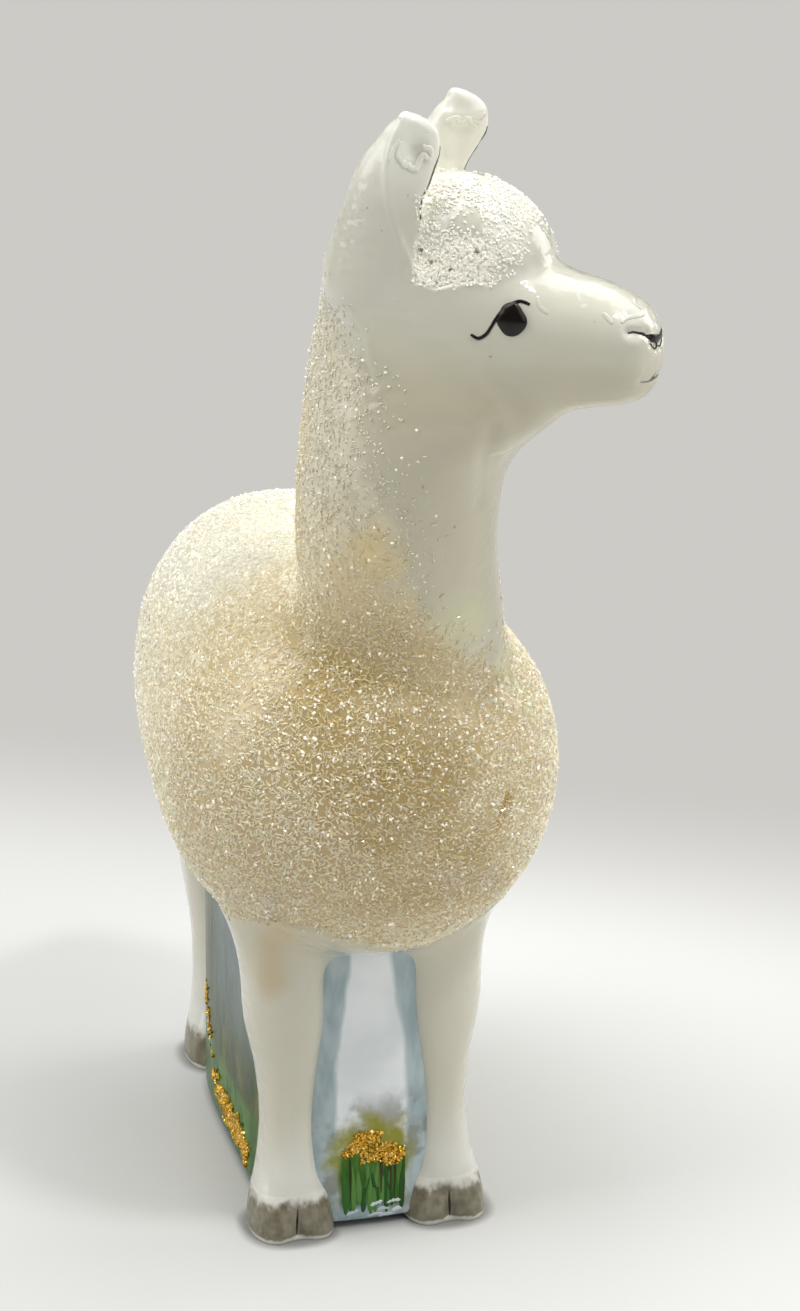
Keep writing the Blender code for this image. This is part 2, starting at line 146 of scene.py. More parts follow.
def ring_points(ring, power, count=RING_POINTS, offset=0.0):
    """Points round a ring, an ellipse for power 2 and boxier above it."""
    angle = 2 * np.pi * (np.arange(count) + offset) / count
    x = np.sign(np.cos(angle)) * abs(np.cos(angle)) ** (2 / power) * ring.width
    y = np.sign(np.sin(angle)) * abs(np.sin(angle)) ** (2 / power)
    y = y * np.where(y > 0, ring.up, ring.down)
    return ring.centre + np.outer(x, ring.side) + np.outer(y, ring.rise)


def tube_faces(points, count):
    """The faces of a closed tube whose points go round in rings of that many."""
    faces = [list(range(count))[::-1], list(range(len(points) - count, len(points)))]
    for start in range(0, len(points) - count, count):
        for i in range(count):
            j = (i + 1) % count
            faces.append([start + i, start + j, start + count + j, start + count + i])
    return faces


def domed(rings, start_dome, end_dome, dome_from):
    """The rings with those of the end domes, which take over at an angle from the loft's own direction."""
    first = math.radians(dome_from)
    for dome, last, inner in ((start_dome, 0, 1), (end_dome, -1, -2)):
        if not dome:
            continue
        end = rings[last]
        outward = unit(end.centre - rings[inner].centre)
        caps = []
        for step in range(1, DOME_STEPS):
            angle = first + (math.pi / 2 - first) * step / DOME_STEPS
            share = math.cos(angle) / math.cos(first)
            reach = (math.sin(angle) - math.sin(first)) / (1 - math.sin(first))
            centre = end.centre + outward * dome * reach
            caps.append(Ring(centre, end.side, end.rise, *[share * size for size in end[3:]]))
        rings = caps[::-1] + rings if last == 0 else rings + caps
    return rings


def loft(rings, power=2.0, start_dome=0.0, end_dome=0.0, dome_from=0.0):
    """A closed solid that flows through the rings, whose two ends are flat, or domes of the given height."""
    rings = domed(smooth_rings(rings), start_dome, end_dome, dome_from)
    points = np.concatenate([ring_points(ring, power) for ring in rings])
    return points, tube_faces(points, RING_POINTS)


TRUNK = [  # along, sideways, height, half width, rise, drop
    (-28.5, 0.7, 47.2, 12.4, 12.8, 12.4),
    (-25.0, 0.7, 47.2, 16.2, 16.6, 16.0),
    (-18.0, 0.7, 47.2, 19.5, 19.0, 18.6),
    (-9.0, 0.5, 47.4, 19.6, 19.4, 18.6),
    (2.0, 0.2, 47.8, 18.3, 19.6, 18.3),
    (12.0, -0.2, 48.0, 16.6, 19.3, 18.0),
    (20.0, -0.3, 48.2, 14.6, 17.2, 16.4),
    (26.0, -0.3, 48.4, 11.2, 12.8, 12.6),
]
TRUNK_POWER, CHEST_DOME, RUMP_DOME = 2.1, 3.6, 4.6
NECK = [  # height, x, y, turn, half width, forward reach, backward reach
    (54.0, 1.6, -14.0, 0.0, 15.0, 13.0, 13.0),
    (60.0, 2.8, -17.8, 2.0, 12.0, 11.0, 11.4),
    (66.0, 3.0, -20.5, 6.0, 10.1, 9.7, 10.0),
    (72.0, 2.3, -22.0, 15.0, 9.8, 9.5, 9.5),
    (78.0, 2.3, -22.8, 26.0, 9.7, 10.2, 9.7),
    (82.5, 2.6, -23.5, 36.0, 9.5, 12.0, 9.9),
    (86.0, 3.3, -24.3, 44.0, 9.3, 14.8, 10.6),
    (90.0, 4.0, -24.9, 50.0, 8.7, 13.4, 11.0),
    (95.0, 3.2, -24.2, 51.0, 8.0, 9.0, 8.7),
    (100.0, 2.3, -23.5, 51.0, 6.8, 7.0, 6.5),
]
HEAD = [  # along, height, half width, rise, drop
    (-3.5, 97.5, 5.6, 6.0, 4.5),
    (1.0, 97.5, 7.4, 7.9, 6.5),
    (6.0, 97.0, 7.7, 7.9, 9.2),
    (11.0, 95.4, 7.2, 6.8, 9.8),
    (15.6, 94.0, 6.0, 6.0, 7.6),
    (19.3, 93.4, 5.1, 5.8, 6.0),
    (22.0, 93.2, 4.6, 5.1, 5.3),
    (23.6, 93.0, 4.1, 4.4, 4.5),
]
TOPKNOT = [  # height, along, half width, forward reach, backward reach
    (97.0, 7.2, 7.0, 7.6, 7.0),
    (101.5, 7.3, 6.9, 7.6, 7.0),
    (104.6, 6.8, 5.7, 6.4, 6.0),
]
EAR_BACK = [  # height, along, half thickness, forward reach, backward reach
    (96.0, -0.5, 3.6, 4.5, 5.4),
    (101.0, 1.0, 3.0, 3.6, 5.7),
    (105.0, 1.6, 2.5, 2.6, 4.5),
    (109.0, 2.2, 2.1, 1.8, 3.5),
    (112.0, 3.1, 1.8, 1.5, 1.9),
]
EAR_ASIDE = {-1: (-4.6, -5.3, -5.8, -6.1, -6.2), 1: (4.6, 4.9, 4.9, 4.9, 4.9)}
EAR_FACES = {  # height, along, left, half length, lean
    -1: [
        (101.0, 4.5, -7.4, 0.7, 0.0),
        (105.0, 4.2, -7.45, 1.4, 0.0),
        (107.1, 4.3, -7.25, 1.85, 0.0),
        (109.3, 4.5, -7.0, 2.3, 5.0),
        (111.2, 4.95, -6.9, 2.3, 15.0),
        (113.0, 5.15, -6.85, 2.1, 26.0),
    ],
    1: [
        (103.0, 3.6, 3.4, 0.8, 0.0),
        (105.0, 3.5, 3.4, 1.1, 0.0),
        (107.1, 3.7, 3.6, 1.4, 0.0),
        (109.2, 4.2, 3.9, 2.0, 5.0),
        (111.4, 4.95, 4.1, 2.3, 15.0),
        (113.4, 5.15, 4.15, 2.1, 26.0),
    ],
}
FRONT_LEG = [  # height, outward, ahead, half width, half depth
    (40.0, 0.8, -2.0, 6.4, 6.6),
    (33.5, 0.4, -1.0, 5.4, 6.0),
    (28.5, 0.1, -0.4, 4.5, 5.0),
    (22.5, 0.0, 0.0, 4.15, 4.4),
    (17.0, -0.1, 0.0, 3.2, 3.9),
    (11.5, -0.1, 0.0, 2.8, 3.6),
    (6.5, 0.0, 0.2, 3.2, 3.9),
    (3.0, 0.0, 0.4, 3.9, 4.4),
    (SOLE, 0.0, 0.4, 3.9, 4.4),
]
HIND_LEG = [
    (47.0, 2.0, 8.0, 6.4, 8.0),
    (40.0, 2.4, 5.4, 6.6, 9.0),
    (33.0, 1.6, 2.6, 5.5, 8.2),
    (27.0, 0.6, 0.0, 4.4, 6.2),
    (21.0, 0.0, -1.6, 3.7, 4.8),
    (15.0, -0.2, -1.2, 3.1, 4.1),
    (9.5, -0.1, -0.2, 3.1, 3.9),
    (5.5, 0.0, 0.2, 3.4, 4.1),
    (3.0, 0.0, 0.4, 3.7, 4.4),
    (SOLE, 0.0, 0.4, 3.7, 4.4),
]
TOE = [(6.5, 0.4, 1.3, 2.2), (4.0, 0.9, 1.8, 3.6), (1.2, 1.2, 2.3, 4.2), (SOLE, 1.2, 2.2, 4.1)]
TAIL = [(60.0, 24.0, 3.2, 4.0), (55.0, 28.0, 4.2, 4.4), (49.0, 30.6, 4.4, 3.8), (43.0, 31.6, 3.9, 3.0)]


def trunk():
    rings = [Ring(np.array([x, y, z]), ACROSS, UP, w, up, down) for y, x, z, w, up, down in TRUNK]
    return loft(rings, TRUNK_POWER, CHEST_DOME, RUMP_DOME, TAPERED_DOME)


def neck():
    rings = []
    for z, x, y, turn, width, front, back in NECK:
        forward, left = turned(turn)
        rings.append(Ring(np.array([x, y, z]), left, forward, width, front, back))
    return loft(rings, 2.0, 0.0, 3.0)


def head():
    rings = [Ring(in_head(s, 0, z), HEAD_LEFT, UP, w, up, down) for s, z, w, up, down in HEAD]
    return loft(rings, 2.2, 3.0, 1.9, 15.0)


def topknot():
    rings = [Ring(in_head(s, 0, z), HEAD_LEFT, HEAD_FORWARD, w, f, b) for z, s, w, f, b in TOPKNOT]
    return loft(rings, 2.0, 0.0, 3.2, TAPERED_DOME)


def ear(side):
    """The two lofts of an ear, its thick back and its flat face leaning forward."""
    rings = [Ring(in_head(s, aside, z), HEAD_LEFT, HEAD_FORWARD, w, f, b)
             for (z, s, w, f, b), aside in zip(EAR_BACK, EAR_ASIDE[side])]
    back = loft(rings, 2.2, 0.0, 1.7)
    turn = math.radians(EAR_TURN)
    along = HEAD_FORWARD * math.cos(turn) + HEAD_LEFT * math.sin(turn)
    outward = HEAD_FORWARD * math.sin(turn) - HEAD_LEFT * math.cos(turn)
    rings = []
    for z, s, left, length, lean in EAR_FACES[side]:
        rise = along * math.cos(math.radians(lean)) - UP * math.sin(math.radians(lean))
        centre = in_head(s, left, z) - outward * EAR_PLATE
        rings.append(Ring(centre, outward, rise, EAR_PLATE, length, length))
    return [back, loft(rings, 3.0, 0.0, 0.8)]


def leg(side, spread, y, sizes):
    """A leg and the two toes of its foot."""
    middle = LEG_MIDDLE + side * spread
    columns = [[(z, side * out, *row) for z, out, *row in sizes]]
    columns += [[(z, toe * TOE_SPREAD, *row) for z, *row in TOE] for toe in (-1, 1)]
    return [loft([Ring(np.array([middle + out, y - ahead, z]), ACROSS, -BACK, width, depth, depth)
                  for z, out, ahead, width, depth in column], 2.2) for column in columns]


def tail():
    rings = [Ring(np.array([LEG_MIDDLE, y, z]), ACROSS, BACK, w, d, d) for z, y, w, d in TAIL]
    return loft(rings, 2.0, 2.0, 2.6)


def gathered(solids):
    """The points and faces of several solids as one."""
    starts = np.cumsum([0] + [len(points) for points, _ in solids])
    faces = [[corner + start for corner in face] for (_, own), start in zip(solids, starts) for face in own]
    return np.concatenate([points for points, _ in solids]), faces


# --- Meshes ---


def read(items, field, width, kind=np.float32):
    """A field of every item, as one row each."""
    values = np.empty(len(items) * width, kind)
    items.foreach_get(field, values)
    return values.reshape(-1, width)


def read_points(mesh):
    """A mesh's points, in the animal's frame."""
    return read(mesh.vertices, "co", 3).astype(float) / MM + BOX_CENTRE


def write_points(mesh, points):
    mesh.vertices.foreach_set("co", ((points - BOX_CENTRE) * MM).astype(np.float32).ravel())
    mesh.update()


def read_normals(mesh):
    return read(mesh.vertex_normals, "vector", 3).astype(float)


def read_triangles(mesh):
    mesh.calc_loop_triangles()
    return read(mesh.loop_triangles, "vertices", 3, np.int32)


def new_mesh(name, points, faces):
    """A mesh in the shared frame, from points in the animal's."""
    mesh = bpy.data.meshes.new(name)
    sizes, corners = [len(face) for face in faces], np.concatenate(faces)
    mesh.vertices.add(len(points))
    write_points(mesh, points)
    mesh.loops.add(len(corners))
    mesh.loops.foreach_set("vertex_index", corners.astype(np.int32))
    mesh.polygons.add(len(faces))
    mesh.polygons.foreach_set("loop_start", (np.cumsum(sizes) - sizes).astype(np.int32))
    mesh.update(calc_edges=True)
    mesh.validate()
    return mesh


def edited(mesh, change, source=None):
    """The mesh after a change to its own editable form, or to that of another mesh."""
    bm = bmesh.new()
    bm.from_mesh(source or mesh)
    change(bm)
    bm.to_mesh(mesh)
    bm.free()
    return mesh


def face_outwards(bm):
    bmesh.ops.recalc_face_normals(bm, faces=bm.faces)


def new_object(name, data, material=None):
    made = bpy.data.objects.new(name, data)
    bpy.context.scene.collection.objects.link(made)
    if material:
        data.materials.append(material)
    return made


def new_piece(mesh, material, slot_name, *nodes):
    """A finished mesh as a piece of its name that rides on the frame, in the place of the nodes."""
    made = new_object(mesh.name, mesh, material)
    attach(made, "root")
    if nodes:
        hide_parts(*nodes)


def set_colours(mesh, name, colours):
    """A colour for every point, in linear light."""
    attribute = mesh.color_attributes.new(name, "FLOAT_COLOR", "POINT")
    rgba_rows = np.concatenate([colours, np.ones((len(colours), 1))], axis=1)
    attribute.data.foreach_set("color", rgba_rows.astype(np.float32).ravel())


def broadness(points):
    """How much of each smoothing pass every point gets: all inside a broad joint, and less elsewhere."""
    share = np.full(len(points), DETAIL_SHARE)
    crisp = [(in_head(*tip), EAR_TIP_REACH) for tip in EAR_TIPS]
    for places, full in ((crisp, CRISP_SHARE), (BROAD_JOINTS, 1.0)):
        for centre, reach in places:
            near = (1 - distance(points, centre) / reach) * JOINT_PLATEAU
            share += (full - share) * smoothstep(0, 1, near)
    return share


def relaxed(points, mesh, share, passes):
    """The points after they have moved towards their neighbours' middle that many times."""
    edges = read(mesh.edges, "vertices", 2, np.int32)
    tips, tails = np.concatenate([edges, edges[:, ::-1]]).T
    count = np.bincount(tips, minlength=len(points))[:, None]
    share = share[:, None] * 0.5
    points = points.copy()
    for _ in range(passes):
        sums = [np.bincount(tips, points[tails, axis], len(points)) for axis in range(3)]
        points += share * (np.stack(sums, 1) / count - points)
    return points


def fused(lofts):
    """The lofts joined into one smooth closed mesh."""
    whole = new_object("lofts", edited(new_mesh("lofts", *gathered(lofts)), face_outwards))
    remesh = whole.modifiers.new("Fuse", "REMESH")
    remesh.mode = "VOXEL"
    remesh.voxel_size = VOXEL * MM
    made = bpy.data.meshes.new_from_object(whole.evaluated_get(bpy.context.evaluated_depsgraph_get()))
    bpy.data.objects.remove(whole)
    made.name = "glass_skin"
    points = read_points(made)
    passes = round(CAD_SMOOTH_PASSES * (CAD_VOXEL / VOXEL) ** 2)
    write_points(made, relaxed(points, made, broadness(points), passes))
    return made


def flat_soles(points):
    """The points, with all that is below the floor raised to it."""
    points[:, 2] = np.maximum(points[:, 2], 0)
    return points


# --- Where things are on the animal ---


def smoothstep(low, high, value):
    t = np.clip((value - low) / (high - low), 0, 1)
    return t * t * (3 - 2 * t)


def clouds(points, size, seed):
    """Smooth noise from -1 to 1 whose blotches are about that many millimetres wide."""
    return np.array([noise.noise(place) for place in (points / size + seed).tolist()])


def distance(points, place):
    return np.linalg.norm(points - np.array(place), axis=1)


PATH_REACH, FAR_AWAY = 6.0, 1e3


def path_distance(points, path):
    """Every point's distance from a path, looked at only near it."""
    path = np.array(path)
    found = np.full(len(points), FAR_AWAY)
    low, high = path.min(0) - PATH_REACH, path.max(0) + PATH_REACH
    near = np.flatnonzero(((points > low) & (points < high)).all(1))
    close, best = points[near], found[near]
    for start, end in zip(path, path[1:]):
        run = end - start
        t = np.clip((close - start) @ run / (run @ run), 0, 1)
        best = np.minimum(best, np.linalg.norm(close - start - t[:, None] * run, axis=1))
    found[near] = best
    return found


def trunk_level(points):
    """How far out a point is from the trunk's middle line, with 1 on the trunk's own surface."""
    rows = np.array(TRUNK)
    y = points[:, 1]
    x, z, width, up, down = [np.interp(y, rows[:, 0], rows[:, i]) for i in range(1, 6)]
    high = points[:, 2] - z
    beyond = np.maximum((rows[0, 0] - y) / (CHEST_DOME + 4), (y - rows[-1, 0]) / (RUMP_DOME + 4))
    level = abs((points[:, 0] - x) / width) ** TRUNK_POWER
    level += abs(high / np.where(high > 0, up, down)) ** TRUNK_POWER
    return (level + np.maximum(beyond, 0) ** 2) ** (1 / TRUNK_POWER)


def neck_angle(points):
    """The angle in degrees from the way the face looks, seen from the neck's middle line."""
    rows = np.array(NECK)
    x, y = [np.interp(points[:, 2], rows[:, 0], rows[:, i]) for i in (1, 2)]
    offset = points[:, :2] - np.stack([x, y], 1)
    return np.degrees(np.arctan2(offset @ HEAD_LEFT[:2], offset @ HEAD_FORWARD[:2]))


# Half the angle of the bare throat, by height.
BARE_THROAT = [(59.0, 0.0), (62.0, 12.0), (66.0, 38.0), (70.0, 54.0), (76.0, 54.0), (81.0, 68.0),
               (86.0, 82.0), (91.0, 96.0), (96.0, 118.0), (101.0, 140.0), (105.0, 170.0)]
# The height where the coat ends on the front legs, by the place across them.
FLEECE_HEM = [(-14.0, 33.5), (-12.7, 34.4), (-9.8, 35.9), (-6.6, 35.0), (-3.5, 33.8), (0.9, 31.8),
              (5.6, 30.6), (8.7, 32.3), (12.5, 35.0)]
BARE_PATCHES = [((-2.3, -30.6, 73.5), 1.7), ((-4.4, -28.7, 71.0), 1.3)]


def fleece(points):
    """How thickly the glitter lies at each point, from 0 to 1."""
    wobble = clouds(points, 3.0, 5.0)
    fine = clouds(points, 1.1, 9.0)
    on_trunk = smoothstep(1.12, 1.05, trunk_level(points) + 0.025 * wobble)
    upper = smoothstep(42, 46, points[:, 2])
    cover = np.maximum(on_trunk, upper)
    throat = np.interp(points[:, 2], *np.array(BARE_THROAT).T)
    aside = abs(neck_angle(points)) - throat + 12 * wobble + 8 * fine
    high = smoothstep(57, 61, points[:, 2])
    on_neck = 0.12 * smoothstep(-30, -8, aside) + 0.88 * smoothstep(-12, 34, aside)
    cover = cover * (1 - high + high * on_neck)
    hem = np.interp(points[:, 0], *np.array(FLEECE_HEM).T)
    below = smoothstep(hem + 0.7, hem - 0.5, points[:, 2] + 0.35 * wobble)
    cover = cover * (1 - below * smoothstep(-7, -11, points[:, 1]))
    thin_neck = smoothstep(66, 74, points[:, 2]) * smoothstep(-0.1, 0.5, wobble + 0.4 * fine)
    cover = cover * (1 - 0.45 * thin_neck)
    for centre, reach in BARE_PATCHES:
        cover = cover * smoothstep(reach * -0.4, reach * 1.6, distance(points, centre) + 0.8 * fine)
    return cover * smoothstep(106, 101, points[:, 2])


KNOT_DIMPLE = (8.8, 5.0, 104.6)  # along the face, aside and up


def knot_cover(points):
    """How thickly the coarse crystals lie on the topknot, from 0 to 1."""
    along, left, height = to_head(points)
    side = abs(left)
    wobble = clouds(points, 2.2, 13.0)
    low = 98.9 + 0.16 * np.maximum(along - 8, 0) + 0.7 * wobble
    zone = smoothstep(low - 0.3, low + 0.6, height) * smoothstep(107.6, 106.6, height)
    zone = zone * smoothstep(1.5, 3.2, along) * smoothstep(14.4, 12.6, along + 0.8 * wobble)
    zone = zone * (1 - smoothstep(5.4, 4.2, along) * smoothstep(3.0, 4.6, side))
    heavy = smoothstep(4.0, 5.8, side) * smoothstep(12.4, 10.6, along)
    heavy = heavy * smoothstep(103.6, 101.4, height + wobble)
    dimple = distance(np.stack([along, side, height], 1), KNOT_DIMPLE)
    return zone * (0.24 + 0.76 * heavy) * (0.15 + 0.85 * smoothstep(0.6, 2.2, dimple + 0.5 * wobble))


# --- Colours, in linear light ---

# Painted shade and light in the enamel. The darker base enamel makes the jaw, throat and neck darker as
# painted shade, as well as giving them their creamier tone. The head band is the head's own whiter colour,
# and the low band is the legs' own whiter colour. The band at the ear tips is lighter partly in its own
# colour and partly as painted light from above.
ENAMEL = (0.575, 0.54, 0.395)
ENAMEL_TONES_AND_PAINTED_LIGHT = [  # colour, the height where it begins and the height where it is full
    ((0.70, 0.685, 0.575), 88, 97),
    ((0.95, 0.94, 0.83), 104, 111),
    ((0.66, 0.635, 0.515), 34, 26),
]
ENAMEL_FOOT = (0.76, 0.75, 0.68)
CREAM, PALE_CREAM, TAN = (0.96, 0.84, 0.56), (0.98, 0.935, 0.745), (0.72, 0.58, 0.27)
LILAC, OCHRE, GREENISH = (0.76, 0.71, 0.66), (0.62, 0.42, 0.12), (0.80, 0.80, 0.45)
BEIGE, HONEY = (0.58, 0.43, 0.22), (0.80, 0.64, 0.32)
BARE_UNDER, KNOT_WHITE = (0.80, 0.75, 0.57), (0.94, 0.93, 0.84)
STAINS = [  # colour, strength, how far off it ends and is full, raggedness, path
    (HONEY, 0.6, 4.4, 0.5, 1.0, [(-6.5, -21.5, 84.0), (-7.0, -20.5, 77.0), (-6.6, -21.0, 73.0)]),
    (OCHRE, 0.85, 1.1, 0.2, 0.0, [(10.6, -30.3, 44.8), (11.6, -29.2, 48.0)]),
    (BEIGE, 0.7, 3.2, 0.3, 1.0, [(-9.9, -25.0, 34.5), (-10.6, -23.6, 31.5), (-10.9, -22.5, 28.5)]),
    (GREENISH, 0.5, 2.6, 0.4, 0.0, [(12.6, -25.8, 60.0), (14.2, -24.0, 55.5)]),
]
CHEST_WASH = (7.0, -29.3, 65.5)
# Painted shade between the grains: the chest's paint there is made darker and browner, for the shade that the
# grains cast on it.
GAP_SHADE = (0.30, 0.37, 0.48)  # how much light the paint between the grains of the chest loses


def mixed(colours, other, share):
    return colours + (np.array(other) - colours) * share[:, None]


def paint(points, cover):
    """The colour of the paint under the glitter, and so of the grains that stand on it; its enamel bands by
    height carry painted shade and painted light.
    """
    broad, patchy = clouds(points, 9.0, 2.0), clouds(points, 3.5, 7.0)
    x, y, height = points.T
    top = smoothstep(56, 65, height) * smoothstep(-14, -2, y)
    rear = smoothstep(-12, 14, y) * 0.6
    front = smoothstep(-14, -26, y) * smoothstep(34, 40, height) * smoothstep(72, 60, height)
    middle = smoothstep(13, 3, abs(x + 3.0 - 0.3 * (62 - height)))
    warm = front * middle * smoothstep(-0.55, 0.25, broad + 0.4 * patchy)
    lilac = front * smoothstep(50, 40, height) * smoothstep(-0.05, 0.4, broad - 0.3 * patchy)
    # Bands by height: painted shade under the jaw and throat and painted light at the ear tips, besides the
    # enamel's own tones.
    layers = [(colour, smoothstep(start, full, height)) for colour, start, full in ENAMEL_TONES_AND_PAINTED_LIGHT]
    layers += [
        (ENAMEL_FOOT, smoothstep(14, 5, height + 1.5 * patchy)),
        (BARE_UNDER, smoothstep(0.3, 1.0, cover) * smoothstep(66, 84, height)),
        (KNOT_WHITE, smoothstep(0.05, 0.4, cover) * smoothstep(96, 98, height)),
        (CREAM, smoothstep(0.2, 0.9, cover) * smoothstep(84, 66, height)),
        (PALE_CREAM, np.clip(top + rear, 0, 1) * smoothstep(0.1, 0.6, cover)),
        (TAN, 0.85 * warm * cover),
        (LILAC, 0.4 * lilac * cover),
    ]
    for centre, reach in BARE_PATCHES:
        layers.append((HONEY, 0.9 * smoothstep(reach * 2.6, 0.0, distance(points, centre) + 1.6 * patchy)))
    for colour, strength, end, full, ragged, path in STAINS:
        gap = path_distance(points, path) + ragged * patchy
        layers.append((colour, strength * smoothstep(end, full, gap)))
    layers.append((GREENISH, 0.35 * smoothstep(5.5, 1.0, distance(points, CHEST_WASH) + 1.5 * broad)))
    colours = np.tile(ENAMEL, (len(points), 1))
    for colour, share in layers:
        colours = mixed(colours, colour, share)
    return colours


# --- Materials ---


class Value:
    """An output in a material's tree, which takes the usual signs of arithmetic."""

    def __init__(self, nodes, socket):
        self.nodes, self.socket = nodes, socket

    def __add__(self, other):
        return self.nodes.math("ADD", self, other)

    def __sub__(self, other):
        return self.nodes.math("SUBTRACT", self, other)

    def __rsub__(self, other):
        return self.nodes.math("SUBTRACT", other, self)

    def __mul__(self, other):
        return self.nodes.math("MULTIPLY", self, other)

    def __pow__(self, other):
        return self.nodes.math("POWER", self, other)

    def __abs__(self):
        return self.nodes.math("ABSOLUTE", self)


class Nodes:
    """A material's node tree, with short ways to add to it."""

    def __init__(self, name):
        self.material = bpy.data.materials.new(name)
        self.material.use_nodes = True
        self.tree = self.material.node_tree
        self.shader = self.tree.nodes["Principled BSDF"]
        self.object_place = self.output("ShaderNodeTexCoord", "Object")

    def node(self, kind, inputs=(), **settings):
        """A new node; inputs pairs its sockets' names or numbers with what goes into them."""
        node = self.tree.nodes.new(kind)
        for key, value in settings.items():
            setattr(node, key, value)
        for socket, value in inputs:
            self.join(value, node.inputs[socket])
        return node

    def output(self, kind, name, inputs=(), **settings):
        return Value(self, self.node(kind, inputs, **settings).outputs[name])

    def join(self, source, target):
        if isinstance(source, Value):
            self.tree.links.new(source.socket, target)
        else:
            target.default_value = source

    def math(self, operation, *values):
        return self.output("ShaderNodeMath", 0, enumerate(values), operation=operation)

    def larger(self, first, second):
        return self.math("MAXIMUM", first, second)

    def ramp(self, value, low, high, start=0.0, end=1.0):
        """A smooth way from start to end while the value goes from low to high."""
        values = enumerate((value, low, high, start, end))
        return self.output("ShaderNodeMapRange", 0, values, interpolation_type="SMOOTHSTEP")

    def mix(self, share, first, second):
        """A blend of two colours."""
        inputs = [("Factor", share), (6, first), (7, second)]
        return self.output("ShaderNodeMix", 2, inputs, data_type="RGBA")

    def noise(self, size, detail=2.0, stretch=(1, 1, 1)):
        """Noise from 0 to 1 in blotches that many millimetres wide, longer along an axis by its stretch."""
        scale = [1 / (size * MM * longer) for longer in stretch]
        place = self.output("ShaderNodeMapping", 0, [("Scale", scale), ("Vector", self.object_place)])
        inputs = [("Scale", 1.0), ("Detail", detail), ("Vector", place)]
        return self.output("ShaderNodeTexNoise", "Fac", inputs)

    def axis(self, name):
        """A coordinate of the animal's frame, in millimetres."""
        metres = self.output("ShaderNodeSeparateXYZ", name, [(0, self.object_place)])
        return metres * (1 / MM) + float(BOX_CENTRE["XYZ".index(name)])

    def attribute(self, name):
        return self.output("ShaderNodeAttribute", "Color", attribute_name=name)

    def bump(self, height, distance, target="Normal"):
        inputs = [("Distance", distance * MM), ("Height", height)]
        self.join(self.output("ShaderNodeBump", 0, inputs), self.shader.inputs[target])

    def finish(self, color, **settings):
        self.join(color, self.shader.inputs["Base Color"])
        for key, value in settings.items():
            self.join(value, self.shader.inputs[key.replace("_", " ").title().replace("Ior", "IOR")])
        return self.material


def rgba(colour, share=1.0):
    return (*[c * share for c in colour], 1.0)


def two_tone(nodes, value, low, high, first, second):
    """One colour where the value is low and another where it is high."""
    return nodes.mix(nodes.ramp(value, low, high), rgba(first), rgba(second))


def enamel_material():
    """White lacquer on glass, wavy as hand-dipped lacquer is, with faint mottling and a few specks."""
    nodes = Nodes("white_enamel")
    mottle = nodes.ramp(nodes.noise(5.0, 3.0), 0.35, 0.75, 0.0, 0.10)
    specks = nodes.ramp(nodes.noise(0.45, 0.0), 0.865, 0.885, 0.0, 0.55)
    color = nodes.mix(mottle, nodes.attribute("paint"), rgba((0.62, 0.56, 0.38)))
    color = nodes.mix(specks, color, rgba((0.30, 0.24, 0.16)))
    waves = nodes.noise(2.6, 1.0)
    nodes.bump(waves, 0.12)
    nodes.bump(waves + nodes.noise(1.0, 1.0) * 0.9, 0.13, "Coat Normal")
    return nodes.finish(color, roughness=0.3, ior=1.4, coat_weight=1.0, coat_roughness=0.05)


def coat_material(name, glow):
    """Clear crushed glass over the paint it stands on; its glow is painted light, standing in for the light
    passed about inside its grains.
    """
    nodes = Nodes(name)
    nodes.shader.inputs["Subsurface Radius"].default_value = (0.8, 0.9, 1.0)
    return nodes.finish(nodes.attribute("tint"), roughness=0.12, ior=1.5, specular_tint=(1.0, 0.94, 0.82, 1),
                        subsurface_weight=0.5, subsurface_scale=0.3 * MM,
                        emission_color=(1.0, 0.95, 0.83, 1), emission_strength=glow)


def line_material(name, colour, roughness):
    nodes = Nodes(name)
    worn = nodes.ramp(nodes.noise(0.8, 2.0), 0.3, 0.8)
    nodes.bump(nodes.noise(0.5, 1.0), 0.02)
    return nodes.finish(nodes.mix(worn, rgba(colour), rgba(colour, 1.8)), roughness=roughness, ior=1.4)


def hoof_material():
    """Grey-brown lacquer brushed on thinly, with the white lacquer round its feathered edges."""
    nodes = Nodes("hoof_grey")
    height = nodes.axis("Z")
    strokes, blots = nodes.noise(0.5, 3.0, (1, 1, 3.0)), nodes.noise(1.3, 2.0)
    brown = two_tone(nodes, blots, 0.3, 0.7, (0.165, 0.145, 0.095), (0.275, 0.25, 0.175))
    brown = nodes.mix(nodes.ramp(strokes, 0.45, 0.75, 0.0, 0.45), brown, rgba((0.30, 0.275, 0.21)))
    ragged = (strokes - 0.5) + (blots - 0.5) * 1.8
    top = nodes.ramp(height + ragged, 3.3, 4.5)
    foot = nodes.ramp(height + ragged * 0.3, 0.6, 0.35)
    nodes.bump(strokes, 0.03)
    color = nodes.mix(nodes.larger(top, foot), brown, nodes.attribute("paint"))
    return nodes.finish(color, roughness=0.22, ior=1.45)


